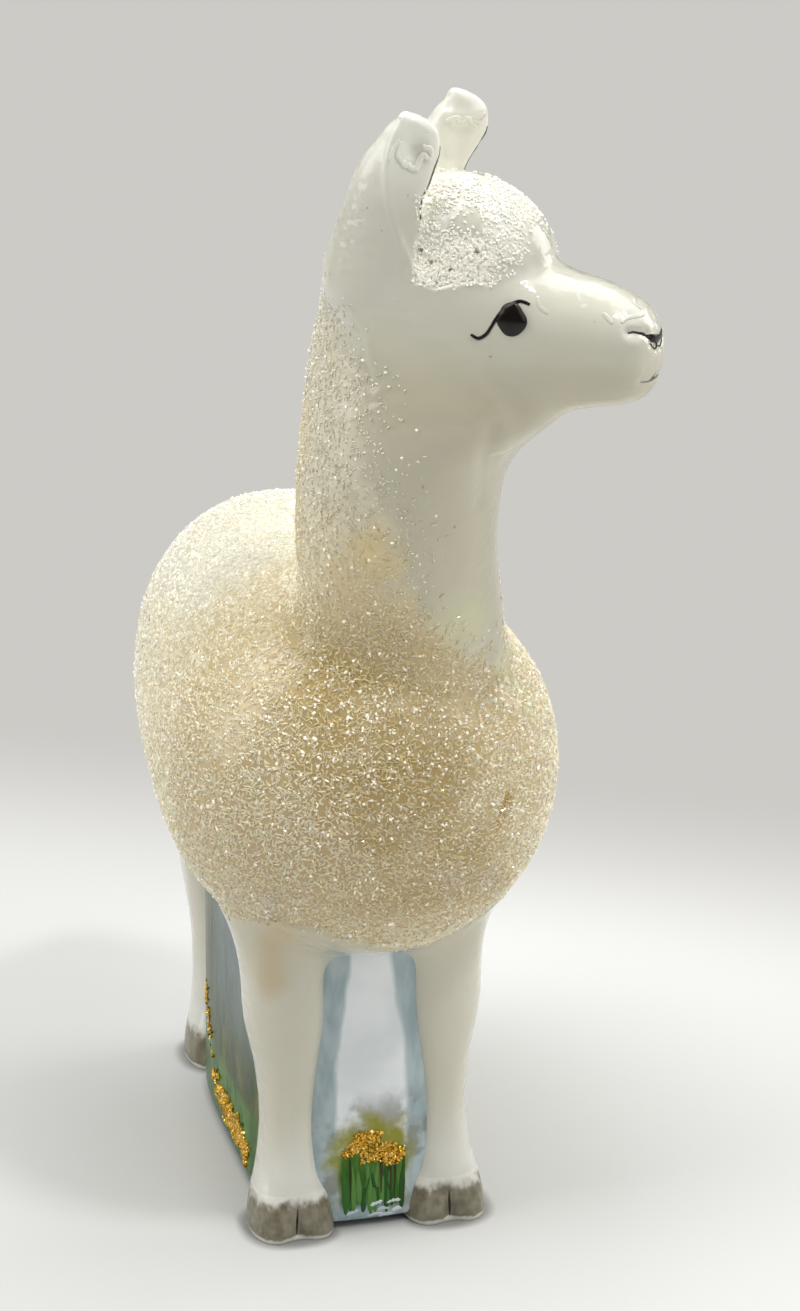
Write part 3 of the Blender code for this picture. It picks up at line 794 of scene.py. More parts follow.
def meadow_material():
    """A pale sky over grass, brushed on the block's four sides, with darker blue in its corners."""
    nodes = Nodes("meadow_paint")
    x, y, z = [nodes.axis(name) for name in "XYZ"]
    brushed, cloudy = nodes.noise(1.6, 3.0, (1, 1, 3)), nodes.noise(6.0, 2.0)
    rough_edge = abs(x - 0.05) + (brushed - 0.5) * 1.2
    edge = z + (brushed - 0.5) * 3.0
    on_side = nodes.ramp(abs(x - LEG_MIDDLE), 8.6, 9.6)
    off_side = 1.0 - on_side

    lilac = two_tone(nodes, cloudy, 0.3, 0.7, (0.80, 0.85, 0.87), (0.92, 0.95, 0.96))
    slate = two_tone(nodes, brushed, 0.3, 0.7, (0.36, 0.45, 0.475), (0.50, 0.59, 0.605))
    border = nodes.ramp(rough_edge - nodes.ramp(z, 30.0, 17.0, 1.9, 3.5), -0.25, 0.5)
    side_sky = two_tone(nodes, cloudy, 0.3, 0.7, (0.13, 0.17, 0.165), (0.18, 0.235, 0.225))
    mossy = nodes.larger(nodes.ramp(edge, 22.0, 9.0), nodes.ramp(y, 1.0, 9.0, 0.0, 0.95))
    side_sky = nodes.mix(mossy, side_sky, rgba((0.05, 0.075, 0.02)))
    color = nodes.mix(on_side, nodes.mix(border, lilac, slate), side_sky)
    smudge = nodes.ramp(nodes.noise(2.8, 3.0), 0.45, 0.62) * nodes.ramp(edge, 15.5, 12.0)
    color = nodes.mix(smudge * (0.7 - on_side), color, rgba((0.24, 0.23, 0.20)))

    reach = ((x + 0.3) * (1 / 4.3)) ** 2.0 + ((z - 7.8) * (1 / 4.6)) ** 2.0
    reach = reach + (nodes.noise(2.2, 3.0) - 0.5) * 2.4
    side_glow = on_side * nodes.ramp(cloudy, 0.45, 0.65, 0.0, 0.3) * nodes.ramp(edge, 13.9, 10.5)
    glow = nodes.larger(nodes.ramp(reach, 1.45, 0.35) * off_side, side_glow)
    color = nodes.mix(glow, color, rgba((0.315, 0.31, 0.055)))
    grass = two_tone(nodes, brushed, 0.35, 0.7, (0.04, 0.12, 0.02), (0.10, 0.225, 0.04))
    grassy = nodes.larger(on_side, nodes.ramp(rough_edge, 4.0, 2.8))
    color = nodes.mix(nodes.ramp(edge, 9.3, 7.6) * grassy, color, grass)
    pale_foot = two_tone(nodes, brushed, 0.4, 0.6, (0.36, 0.46, 0.50), (0.60, 0.68, 0.72))
    color = nodes.mix(nodes.ramp(edge, 2.6, 1.2) * off_side, color, pale_foot)
    color = nodes.mix(nodes.attribute("gold"), color, rgba((0.42, 0.235, 0.012)))
    nodes.bump(brushed, 0.08)
    return nodes.finish(color, roughness=0.25, ior=1.4, specular_ior_level=0.12)


def stroke_material():
    nodes = Nodes("brush_strokes")
    nodes.bump(nodes.noise(0.4, 2.0, (1, 1, 4)), 0.04)
    return nodes.finish(nodes.attribute("tint"), roughness=0.25, ior=1.4, specular_ior_level=0.15)


def gold_material():
    nodes = Nodes("gold_glitter")
    return nodes.finish(nodes.attribute("tint"), roughness=0.28, metallic=0.75)


# --- The glass skin ---


def both_sides(*points):
    """A path on the face given on its right side, there and mirrored to its left."""
    return [[in_head(s, side * left, z) for s, left, z in points] for side in (1, -1)]


NOSTRIL = [(23.6, -3.3, 95.5), (24.1, -2.8, 95.45), (24.45, -2.4, 95.3), (24.75, -1.85, 95.1)]
NOSE_PATCH = [(24.75, -1.85, 95.0), (25.05, -1.2, 94.6), (25.2, -0.3, 94.4), (25.25, 0.4, 94.3)]
NOSE_FOLD = [(25.1, -1.5, 94.2), (25.25, -0.95, 93.7), (25.3, -0.1, 93.75), (25.3, 0.5, 93.9)]
MOUTH = [(24.6, -2.4, 90.75), (24.9, -1.35, 90.6), (25.1, -0.3, 90.65), (25.1, 0.3, 90.8)]
EAR_RIDGE = [(3.6, -7.4, 113.6), (3.2, -7.9, 112.3), (2.7, -8.05, 110.8), (2.5, -8.1, 109.7),
             (2.45, -8.2, 108.3), (2.65, -8.3, 106.4), (3.05, -8.15, 104.5), (3.5, -7.9, 102.8),
             (4.3, -7.4, 100.8), (6.1, -7.4, 98.9)]
FAR_EAR_CREASE = [(3.3, 3.6, 113.8), (3.5, 3.05, 112.1), (3.0, 3.1, 110.7), (2.9, 3.05, 109.4),
                  (3.0, 3.05, 108.3)]
EAR_HOLLOW = [(4.4, -7.4, 106.0), (4.5, -7.6, 103.8), (5.2, -7.5, 101.4)]
EAR_DIMPLE = [(4.6, -7.1, 110.9), (4.6, -7.1, 110.6)]
FAR_EAR_FOLD = [(3.3, 3.0, 112.3), (4.6, 4.0, 112.0), (6.2, 5.0, 112.4)]
FAR_EAR_HOLLOW = [(4.6, 3.9, 110.6), (4.4, 3.8, 109.6)]
THROAT_FOLD = [(12.1, -6.6, 86.0), (11.5, -6.3, 84.5), (10.8, -5.4, 82.8), (10.0, -3.7, 80.5),
               (9.3, -2.2, 77.9)]
SECOND_FOLD = [(11.6, -4.4, 83.0), (10.6, -2.6, 80.6), (10.2, -1.2, 78.0), (10.4, -0.6, 75.0)]
CHEEK = [(12.0, -6.9, 92.0), (14.0, -6.3, 91.6)]
# A path on the face's right side, how wide it works, how far it moves the skin outwards, and whether it has a
# mirror image.
SCULPTED = [
    (NOSTRIL, 0.45, -0.30, True),
    (NOSE_FOLD, 0.4, -0.20, True),
    (MOUTH, 0.45, -0.22, True),
    (EAR_RIDGE, 0.4, 0.22, True),
    (FAR_EAR_CREASE, 0.4, -0.16, False),
    (EAR_HOLLOW, 1.2, -0.30, True),
    (EAR_DIMPLE, 1.05, -0.60, False),
    (FAR_EAR_FOLD, 0.45, 0.22, False),
    (FAR_EAR_HOLLOW, 1.2, -0.30, False),
    (THROAT_FOLD, 0.8, -0.28, True),
    (SECOND_FOLD, 0.6, -0.16, True),
    (CHEEK, 2.4, 0.35, True),
]


# The line between the two toes of each foot, from the floor up, and how wide and deep it is pressed in.
TOE_SPLITS = [[(x, y - 4.9, 0.6), (x, y - 4.7, 2.0), (x, y - 4.3, 3.3)] for _, _, x, y in FEET]
TOE_SPLIT_WIDTH, TOE_SPLIT_DEPTH = 0.5, 0.45


def sculpt(points, normals):
    """The skin with its folds, hollows and lines pressed in."""
    lines = [(line, width, height) for path, width, height, mirrored in SCULPTED
             for line in both_sides(*path)[: 2 if mirrored else 1]]
    lines += [(line, TOE_SPLIT_WIDTH, -TOE_SPLIT_DEPTH) for line in TOE_SPLITS]
    moved = np.zeros(len(points))
    for line, width, height in lines:
        moved += height * np.exp(-((path_distance(points, line) / width) ** 2))
    return points + normals * moved[:, None]


def glass_skin():
    """The whole animal but its eyes and hooves, sunk by the coat's depth where glitter lies, and painted,
    with painted shade between the chest's grains.
    """
    lofts = [trunk(), neck(), head(), topknot(), tail()]
    for side in (-1, 1):
        lofts += ear(side)
        for spread, y, sizes in ((FRONT_SPREAD, FRONT_LEG_Y, FRONT_LEG), (HIND_SPREAD, HIND_LEG_Y, HIND_LEG)):
            lofts += leg(side, spread, y, sizes)
    mesh = fused(lofts)

    def refine(bm):
        fine = [e for e in bm.edges if min(e.verts[0].co.z, e.verts[1].co.z) > FINE_ABOVE * MM]
        bmesh.ops.subdivide_edges(bm, edges=fine, cuts=1, use_grid_fill=True, smooth=0.0)

    edited(mesh, refine)
    normals = read_normals(mesh)
    points = sculpt(read_points(mesh), normals)
    cover = np.maximum(fleece(points), knot_cover(points))
    points -= normals * (COAT_DEPTH * smoothstep(0.0, 0.5, cover))[:, None]
    write_points(mesh, flat_soles(points))
    _, y, height = points.T
    # Painted shade between the grains, stronger low on the chest and towards the front.
    shaded_gaps = smoothstep(0.3, 0.8, cover) * smoothstep(76, 64, height)
    shaded_gaps = shaded_gaps * (0.3 + 0.7 * smoothstep(4, -16, y)) * (1 + 0.35 * smoothstep(58, 44, height))
    set_colours(mesh, "paint", paint(points, cover) * (1 - np.outer(shaded_gaps, GAP_SHADE)))
    mesh.shade_smooth()
    return mesh


def hooves(skin, material):
    """The brushed lacquer of each hoof, a sock that lies over the glass where it is painted."""
    points = read_points(skin)
    for end, side, _, foot_y in FEET:
        inside = (points[:, 2] < HOOF_TOP) & ((points[:, 1] - BETWEEN_LEGS_Y) * foot_y > 0)
        inside &= (points[:, 0] - LEG_MIDDLE) * side > 0

        def cut_out(bm):
            bmesh.ops.delete(bm, geom=[v for v in bm.verts if not inside[v.index]], context="VERTS")
            bmesh.ops.subdivide_edges(bm, edges=bm.edges, cuts=1, use_grid_fill=True, smooth=0.0)
            bmesh.ops.holes_fill(bm, edges=[e for e in bm.edges if e.is_boundary], sides=0)
            face_outwards(bm)

        node = f"hoof_{end}_{SIDE_NAMES[side]}"
        mesh = edited(bpy.data.meshes.new(node + "_lacquer"), cut_out, skin)
        spots, outward = read_points(mesh), read_normals(mesh)
        lift = LACQUER_LIFT * smoothstep(*HOOF_FADE, spots[:, 2]) - LACQUER_SUNK
        write_points(mesh, flat_soles(spots + outward * lift[:, None]))
        mesh.shade_smooth()
        new_piece(mesh, material, "hoof_grey", node)


# --- Painted lines and eyes ---

LINE_FACETS = 10


def surface_tree(mesh):
    """A search tree of a mesh, in the animal's frame."""
    return BVHTree.FromPolygons(read_points(mesh).tolist(), read_triangles(mesh).tolist())


def line_solid(tree, path, widths, height, steps=8, ends=0.25):
    """A raised line of paint that lies along a path on the surface, thinner at its two ends."""
    found = [tree.find_nearest(Vector(place)) for place in spline(path, steps)]
    spots, normals = [np.array([nearest[i] for nearest in found]) for i in (0, 1)]
    across = unit(np.cross(normals, unit(np.gradient(spots, axis=0))))
    widths = np.atleast_1d(widths)
    half = np.interp(np.linspace(0, 1, len(spots)), np.linspace(0, 1, len(widths)), widths) / 2
    half = half * (ends + (1 - ends) * np.sin(np.linspace(0, np.pi, len(spots))) ** 0.5)
    angle = 2 * np.pi * np.arange(LINE_FACETS) / LINE_FACETS
    rings = (spots[:, None] + across[:, None] * (np.cos(angle)[None, :, None] * half[:, None, None])
             + normals[:, None] * (np.sin(angle)[None, :, None] * height))
    points = rings.reshape(-1, 3)
    return points, tube_faces(points, LINE_FACETS)


def joined(name, solids):
    """One smooth mesh of several solids."""
    mesh = edited(new_mesh(name, *gathered(solids)), face_outwards)
    mesh.shade_smooth()
    return mesh


LASH = [(10.2, -7.2, 94.8), (10.85, -7.1, 94.5), (11.55, -7.0, 94.9), (12.0, -6.9, 95.6),
        (12.4, -6.85, 96.3), (12.85, -6.6, 96.95), (13.15, -6.45, 97.25), (13.55, -6.2, 97.6),
        (13.95, -5.9, 97.85), (14.3, -5.7, 97.95), (14.65, -5.5, 97.8), (15.0, -5.3, 97.55)]
LASH_WIDTHS = [0.34, 0.4, 0.36, 0.32, 0.36, 0.42, 0.5, 0.48, 0.4, 0.36, 0.4, 0.36]
EAR_EDGE = [(6.3, -5.1, 110.9), (6.1, -5.2, 109.9), (5.85, -5.4, 109.0), (5.5, -5.7, 107.7),
            (5.3, -6.0, 106.3), (5.15, -6.2, 105.2), (5.05, -6.35, 104.2)]
FAR_EAR_EDGE = [(6.6, 5.7, 110.8), (6.1, 5.8, 109.9), (5.4, 5.8, 109.0), (4.9, 5.4, 108.0), (4.6, 5.0, 106.8)]
EYE_OUTLINE = [  # angle and radius
    (-5, 1.59), (37, 1.42), (76, 1.69), (136, 1.32), (185, 1.65), (227, 1.53), (259, 1.67), (318, 1.50),
    (355, 1.59)]


def eye(tree, side, material):
    """A drop of black enamel, put on with a brush and so a little angular."""
    outside = in_head(EYE_ALONG, side * OUTSIDE_HEAD, EYE_HEIGHT)
    spot, normal, _, _ = tree.ray_cast(Vector(outside), Vector(-side * HEAD_LEFT))
    facing = (normal.normalized() + 2 * side * Vector(HEAD_LEFT)).normalized()
    upward = (Vector(UP) - facing * facing.z).normalized()
    forward = upward.cross(facing) * -side
    angles, radii = np.array(EYE_OUTLINE).T

    def drop(bm):
        bmesh.ops.create_icosphere(bm, subdivisions=5, radius=1.0)
        for vert in bm.verts:
            x, y, z = vert.co
            angle = (math.degrees(math.atan2(y, x)) + 5) % 360 - 5
            reach = np.interp(angle, angles, radii)
            vert.co = spot + forward * x * reach + upward * y * reach + facing * (z * EYE_DEPTH - EYE_SINK)
            vert.co = (vert.co - Vector(BOX_CENTRE)) * MM

    node = "eye_" + SIDE_NAMES[side]
    mesh = edited(bpy.data.meshes.new(node + "_enamel"), drop)
    mesh.shade_smooth()
    new_piece(mesh, material, "eye_black", node)


# Beads where the lacquer ran and set.
DRIPS = [  # a path on the face's own coordinates, its width and height
    ([(3.6, -7.7, 111.6), (3.3, -7.8, 110.5), (3.5, -7.5, 109.9), (3.8, -7.3, 109.4), (4.0, -7.2, 109.6),
      (4.2, -7.0, 109.2), (4.6, -6.8, 109.1), (4.8, -6.7, 109.5), (5.0, -6.4, 110.1), (5.2, -6.3, 110.3),
      (5.5, -6.2, 110.0), (5.7, -6.0, 109.9)], 0.6, 0.2),
    ([(3.6, -7.8, 111.7), (3.1, -8.0, 111.0), (2.7, -8.1, 110.0)], 0.45, 0.12),
    ([(5.1, -6.4, 111.2), (5.4, -6.3, 110.9), (5.7, -6.2, 110.9), (5.8, -6.0, 110.5), (5.8, -6.0, 110.0)],
     0.5, 0.15),
    ([(3.2, 3.1, 111.5), (3.6, 3.2, 111.7), (4.2, 3.5, 111.9), (4.3, 3.9, 111.5), (5.0, 4.1, 111.8),
      (5.2, 4.4, 111.3), (5.6, 4.8, 110.9)], 0.5, 0.16),
    ([(5.1, 4.4, 111.5), (5.9, 4.9, 111.4), (6.3, 5.2, 112.0)], 0.4, 0.12),
    ([(21.2, -3.5, 97.0), (21.7, -3.6, 96.6), (22.2, -3.7, 96.2)], 0.5, 0.06),
    ([(22.9, -3.3, 96.2), (23.2, -2.8, 96.6), (24.0, -1.6, 96.7), (24.0, -0.8, 96.9), (23.3, -0.8, 97.5),
      (22.9, 0.0, 97.8)], 0.5, 0.06),
    ([(15.4, -4.6, 98.2), (15.8, -5.0, 97.4), (16.2, -5.0, 97.1), (16.6, -5.0, 96.8)], 0.45, 0.035),
]


def drips(tree, material):
    solids = [line_solid(tree, [in_head(*place) for place in path], width, height, ends=0.5)
              for path, width, height in DRIPS]
    mesh = joined("lacquer_drips", solids)
    set_colours(mesh, "paint", paint(read_points(mesh), np.zeros(len(mesh.vertices))))
    new_piece(mesh, material, "white_enamel")


DARK_LINES = [  # path on the right side, widths, height and how wide the ends are
    (LASH, LASH_WIDTHS, 0.1, 0.7),
    (NOSTRIL, [0.2, 0.22, 0.26, 0.4], 0.07, 0.7),
    (NOSE_PATCH, [0.35, 0.75, 0.7, 0.6], 0.07, 0.8),
    (NOSE_FOLD, [0.25, 0.2, 0.16, 0.14], 0.06, 0.25),
]
TOE_LINE_WIDTHS, TOE_LINE_HEIGHT = [0.2, 0.32, 0.16], 0.08
MOUTH_WIDTHS, EAR_EDGE_WIDTHS, FAINT_HEIGHT = [0.1, 0.14, 0.2, 0.2], [0.3, 0.45, 0.42, 0.36, 0.3], 0.05


def face_lines(tree, black, grey):
    """The lashes, nostrils and mouth, and the dark edges of the ears and toes."""
    dark = [line_solid(tree, line, widths, height, ends=ends)
            for path, widths, height, ends in DARK_LINES for line in both_sides(*path)]
    dark += [line_solid(tree, line, TOE_LINE_WIDTHS, TOE_LINE_HEIGHT) for line in TOE_SPLITS]
    faint = [line_solid(tree, line, MOUTH_WIDTHS, FAINT_HEIGHT) for line in both_sides(*MOUTH)]
    faint += [line_solid(tree, both_sides(*edge)[0], EAR_EDGE_WIDTHS, FAINT_HEIGHT)
              for edge in (EAR_EDGE, FAR_EAR_EDGE)]
    new_piece(joined("face_lines", dark), black, "eye_black")
    new_piece(joined("faint_lines", faint), grey, "hoof_grey")


# --- The meadow block ---

BLOCK_POINTS, BLOCK_POWER, BLOCK_TOP, BLOCK_STEP = 240, 4.0, 34.5, 0.5
GREENS = [(0.045, 0.15, 0.025), (0.07, 0.20, 0.035), (0.11, 0.26, 0.06), (0.03, 0.10, 0.02)]
STEMS = [(0.035, 0.05, 0.012), (0.06, 0.05, 0.02)]
DABS = [(0.72, 0.78, 0.80), (0.55, 0.64, 0.70)]
BLADES_PER_MM, STEMS_PER_MM, DABS_PER_MM = 2.6, 0.7, 1.3
STROKE_SEED = 3


def meadow_block(material):
    """The block's rings at every half millimetre, so that it is as smooth as the glass."""
    half = (BLOCK_BACK - BLOCK_FRONT) / 2
    heights, insets = np.array(BLOCK_INSETS).T
    rings = []
    for z in np.concatenate([heights[:3], np.arange(2.0, BLOCK_TOP, BLOCK_STEP)]):
        inset = np.interp(z, heights, insets)
        centre = np.array([LEG_MIDDLE, BLOCK_MIDDLE, z])
        rings.append(Ring(centre, ACROSS, BACK, BLOCK_HALF_WIDTH - inset, half - inset, half - inset))
    points = np.concatenate([ring_points(ring, BLOCK_POWER, BLOCK_POINTS, 0.5) for ring in rings])
    mesh = new_mesh("meadow", points, tube_faces(points, BLOCK_POINTS))
    mesh.shade_smooth()
    set_colours(mesh, "gold", np.tile(smoothstep(0.15, 0.6, gold_cover(points))[:, None], 3))
    new_piece(mesh, material, "meadow_paint", "meadow_block")
    return mesh


def brush_strokes(tree, material):
    """Blades of grass, dark stems and pale dabs round the foot of the block's front and back."""
    random = np.random.default_rng(STROKE_SEED)
    solids, colours = [], []

    def stroke(path, widths, height, steps, palette):
        solids.append(line_solid(tree, [(x, wall, z) for x, z in path], widths, height, steps))
        colours.append(palette[random.integers(len(palette))])

    for wall, low, high in ((BLOCK_FRONT, -2.8, 3.1), (BLOCK_BACK, -4.0, 4.0)):
        blades, stems, dabs = [int((high - low) * n) for n in (BLADES_PER_MM, STEMS_PER_MM, DABS_PER_MM)]
        for i in range(blades):
            x = low + (high - low) * (i + random.uniform(0.1, 0.9)) / blades
            foot, tip = random.uniform(1.2, 2.6), random.uniform(5.6, 8.6) - 0.06 * x**2
            lean = random.normal(0, 0.5)
            path = [(x, foot), (x + lean * 0.3, (foot + tip) / 2), (x + lean, tip)]
            stroke(path, [0.7, 0.62, 0.18], 0.05, 6, GREENS)
        for _ in range(stems):
            x = random.uniform(low, high)
            path = [(x, random.uniform(2.6, 4.0)), (x + 0.1, 6.0), (x, random.uniform(7.2, 8.8))]
            stroke(path, [0.26, 0.34, 0.2], 0.07, 6, STEMS)
        for _ in range(dabs):
            x, z, run = random.uniform(low, high), random.uniform(0.9, 2.6), random.uniform(0.3, 0.9)
            path = [(x - run, z - 0.2), (x, z), (x + run, z + random.uniform(-0.2, 0.3))]
            stroke(path, random.uniform(0.3, 0.6), 0.06, 5, DABS)
    mesh = joined("meadow_strokes", solids)
    set_colours(mesh, "tint", np.repeat(colours, [len(points) for points, _ in solids], axis=0))
    new_piece(mesh, material, "meadow_paint")


# --- Grains ---

Shape = namedtuple("Shape", "points faces")
SLIVER = Shape(
    np.array([(-1, 0, 0), (-0.45, 0, 1), (-0.45, -1, -0.6), (-0.45, 1, -0.6), (0.45, 0, 1), (0.45, -1, -0.6),
              (0.45, 1, -0.6), (1, 0, 0)]),
    np.array([(0, 2, 1), (0, 3, 2), (0, 1, 3), (1, 2, 5), (1, 5, 4), (2, 3, 6), (2, 6, 5), (3, 1, 4),
              (3, 4, 6), (7, 4, 5), (7, 5, 6), (7, 6, 4)]))
CHUNK = Shape(
    np.array([(-1, 0, 0), (-0.3, 0.8, 0.5), (-0.4, -0.7, 0.6), (-0.3, -0.5, -0.8), (-0.4, 0.6, -0.7),
              (0.5, 0.9, -0.3), (0.4, -0.1, 0.9), (0.5, -0.9, -0.1), (1, 0.1, 0.1)]),
    np.array([(0, 2, 1), (0, 3, 2), (0, 4, 3), (0, 1, 4), (1, 2, 6), (2, 7, 6), (2, 3, 7), (3, 5, 7),
              (3, 4, 5), (4, 1, 5), (1, 6, 5), (8, 6, 7), (8, 7, 5), (8, 5, 6)]))
FLEECE_GRAINS, GLINTS, KNOT_GRAINS = ((90000, 2600, 5200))
GOLD_GRAINS = 5200
FLEECE_SPACING, GLINT_SPACING, KNOT_SPACING, GOLD_SPACING = 0.21, 0.3, 0.26, 0.17
FLEECE_SEED, KNOT_SEED, GOLD_SEED = 7, 11, 5
PIECE_GRAINS, PIECE_STRIP = 15500, 8  # most grains in a piece, and the strips along the animal they come in
# A grain's mean length, width and height, and how far grains spread round them.
SLIVER_SIZE, SLIVER_SPREAD = (0.58, 0.2, 0.16), 0.25
GLINT_SIZE, GLINT_SPREAD = (0.28, 0.23, 0.23), 0.3
KNOT_SIZE, KNOT_SPREAD = (0.44, 0.36, 0.24), 0.22
GOLD_SIZE, GOLD_SPREAD = (0.4, 0.32, 0.22), 0.2
SHAPE_NOISE = 0.15
CELL_KEYS = np.array([1, 100003, 10000600009])  # one number for each cell of space
# Painted highlights: the glints are white grains sown most thickly where the coat faces this way, the side
# that mirrors the lamp into the camera.
LAMP_MIRROR_SIDE = (0.05, -0.73, 0.68)  # the way that most glints face
DEEP_GOLD, PALE_GOLD, BRIGHT_GOLD = (0.72, 0.38, 0.02), (0.95, 0.62, 0.10), (1.0, 0.82, 0.34)
SHADED_SHARE, BRIGHT_SHARE = 0.12, 0.1  # how many of the gold grains are darker and brighter
# The glints' white tint is a painted highlight.
GLINT_TINT, CRYSTAL_TINT, BLEACHED = (1.0, 0.97, 0.88), (1.0, 0.98, 0.88), (1.0, 0.98, 0.92)
DARK_CRYSTALS, DARK_TINT = 0.035, 0.12  # how many of the topknot's crystals are dark, and how dark
UNWRAP_ANGLE, UNWRAP_MARGIN = math.radians(66), 0.002
PATCH = 0.003  # how wide a grain is on the map that its colour is baked through


def sown(mesh, uv, weight, count, spacing, random):
    """Places on a mesh, dense where its weight is high, with none closer than about the spacing.

    With each goes the way out of the mesh there, and the place on the map whose corners are given.
    """
    triangles = read_triangles(mesh)
    corners = read_points(mesh)[triangles]
    area = np.linalg.norm(np.cross(corners[:, 1] - corners[:, 0], corners[:, 2] - corners[:, 0]), axis=1)
    chance = area * weight[triangles].mean(1)
    picked = random.choice(len(triangles), count, p=chance / chance.sum())
    a, b = random.random((2, count))
    flip = a + b > 1
    a, b = np.where(flip, 1 - a, a), np.where(flip, 1 - b, b)
    shares = np.stack([1 - a - b, a, b], 1)[:, :, None]
    spots = (corners[picked] * shares).sum(1)
    keys = np.floor(spots / spacing).astype(np.int64) @ CELL_KEYS
    keep = np.sort(np.unique(keys, return_index=True)[1])
    spots, picked, shares = spots[keep], picked[keep], shares[keep]
    outward = unit((read_normals(mesh)[triangles[picked]] * shares).sum(1))
    return spots, outward, (uv[picked] * shares).sum(1)


def sized(random, count, means, spread):
    """Half lengths, widths and heights round half their means, a row for each grain."""
    return np.stack([mean / 2 * np.exp(spread * random.normal(size=count)) for mean in means], 1)


def grains(random, shape, spots, outward, sizes, lift, tilt, bend=0.0):
    """The points of one grain on every spot, raised by a share of its height, and a little out of shape."""
    count = len(spots)
    aside = unit(np.cross(outward, random.normal(size=(count, 3))))
    up = unit(outward + tilt * random.normal(size=(count, 3)))
    along = unit(aside - (aside * up).sum(1, keepdims=True) * up)
    across = np.cross(up, along)
    local = np.tile(shape.points, (count, 1, 1))
    local = local * (1 + SHAPE_NOISE * random.normal(size=local.shape))
    curve = bend * random.uniform(-1, 1, count)
    local[:, :, 1] += curve[:, None] * (1 - local[:, :, 0] ** 2) * (sizes[:, 0] / sizes[:, 1])[:, None]
    base = spots + outward * (sizes[:, 2] * lift)[:, None]
    ways = sizes[:, :, None] * np.stack([along, across, up], 1)
    return base[:, None] + local @ ways


def grain_piece(name, slot_name, material, shape, points, tints, roots):
    """One piece of glitter, with its colours and its patches on the map of the skin."""
    count, corners = points.shape[:2]
    faces = (shape.faces[None] + (np.arange(count) * corners)[:, None, None]).reshape(-1, 3)
    mesh = new_mesh(name, points.reshape(-1, 3), faces)
    mesh.shade_flat()
    set_colours(mesh, "tint", np.repeat(tints, corners, axis=0))
    spread = np.linspace(0, 2 * np.pi, corners, endpoint=False)
    patches = roots[:, None] + np.stack([np.cos(spread), np.sin(spread)], 1)[None] * PATCH / 2
    layer = mesh.uv_layers.new(name="OFBake")
    layer.data.foreach_set("uv", patches.reshape(-1, 2)[faces.ravel()].astype(np.float32).ravel())
    new_piece(mesh, material, slot_name)


def unwrapped(mesh):
    """The skin's own unwrap, as a place on the map for each corner of its triangles."""
    flat = new_object("unwrap", mesh.copy())
    for other in bpy.context.selected_objects:
        other.select_set(False)
    bpy.context.view_layer.objects.active = flat
    flat.select_set(True)
    flat.data.uv_layers.new(name="unwrap")
    bpy.ops.object.mode_set(mode="EDIT")
    bpy.ops.mesh.select_all(action="SELECT")
    bpy.ops.uv.smart_project(angle_limit=UNWRAP_ANGLE, island_margin=UNWRAP_MARGIN)
    bpy.ops.object.mode_set(mode="OBJECT")
    flat.data.calc_loop_triangles()
    loops = read(flat.data.loop_triangles, "loops", 3, np.int32)
    uv = read(flat.data.uv_layers["unwrap"].data, "uv", 2)[loops]
    bpy.data.objects.remove(flat)
    return uv


def fleece_coat(skin, uv, material, sparkling):
    random = np.random.default_rng(FLEECE_SEED)
    cover = fleece(read_points(skin))
    sowing = sown(skin, uv, cover**1.3, FLEECE_GRAINS, FLEECE_SPACING, random)
    order = np.lexsort((np.arange(len(sowing[0])), np.round(sowing[0][:, 1] / PIECE_STRIP)))
    spots, outward, roots = [rows[order] for rows in sowing]
    sizes = sized(random, len(spots), SLIVER_SIZE, SLIVER_SPREAD)
    sizes[:, 0] *= 1 - 0.4 * smoothstep(62, 74, spots[:, 2])
    tints = paint(spots, np.ones(len(spots))) * np.exp(0.09 * random.normal(size=(len(spots), 1)))
    tints = np.clip(mixed(tints, BLEACHED, random.random(len(spots)) ** 4 * 0.5), 0, 0.98)
    for i, start in enumerate(range(0, len(spots), PIECE_GRAINS)):
        part = slice(start, start + PIECE_GRAINS)
        made = grains(random, SLIVER, spots[part], outward[part], sizes[part],
                      lift=0.35, tilt=0.16, bend=0.35)
        grain_piece(f"fleece_{i + 1}", "sugared_fleece", material, SLIVER, made, tints[part], roots[part])
    # Painted highlights: white glowing grains, gathered where the coat mirrors the lamp into the camera.
    facing = smoothstep(0.55, 0.97, read_normals(skin) @ unit(np.array(LAMP_MIRROR_SIDE)))
    spots, outward, roots = sown(skin, uv, cover * (0.2 + 1.2 * facing), GLINTS, GLINT_SPACING, random)
    sizes = sized(random, len(spots), GLINT_SIZE, GLINT_SPREAD)
    made = grains(random, CHUNK, spots, outward, sizes, lift=0.9, tilt=0.8)
    tints = np.tile(GLINT_TINT, (len(spots), 1))
    grain_piece("fleece_glints", "sugared_fleece", sparkling, CHUNK, made, tints, roots)


def knot_crystals(skin, uv, material):
    random = np.random.default_rng(KNOT_SEED)
    spots, outward, roots = sown(skin, uv, knot_cover(read_points(skin)), KNOT_GRAINS, KNOT_SPACING, random)
    heavy = 0.75 + 0.25 * smoothstep(0.3, 0.7, knot_cover(spots))[:, None]
    sizes = sized(random, len(spots), KNOT_SIZE, KNOT_SPREAD) * heavy
    made = grains(random, CHUNK, spots, outward, sizes, lift=0.6, tilt=0.35)
    dark = (random.random((len(spots), 1)) < DARK_CRYSTALS) & (heavy > 0.95)
    tints = np.array(CRYSTAL_TINT) * np.where(dark, DARK_TINT, 1.0)
    grain_piece("topknot_crystals", "sugared_fleece", material, CHUNK, made, tints, roots)


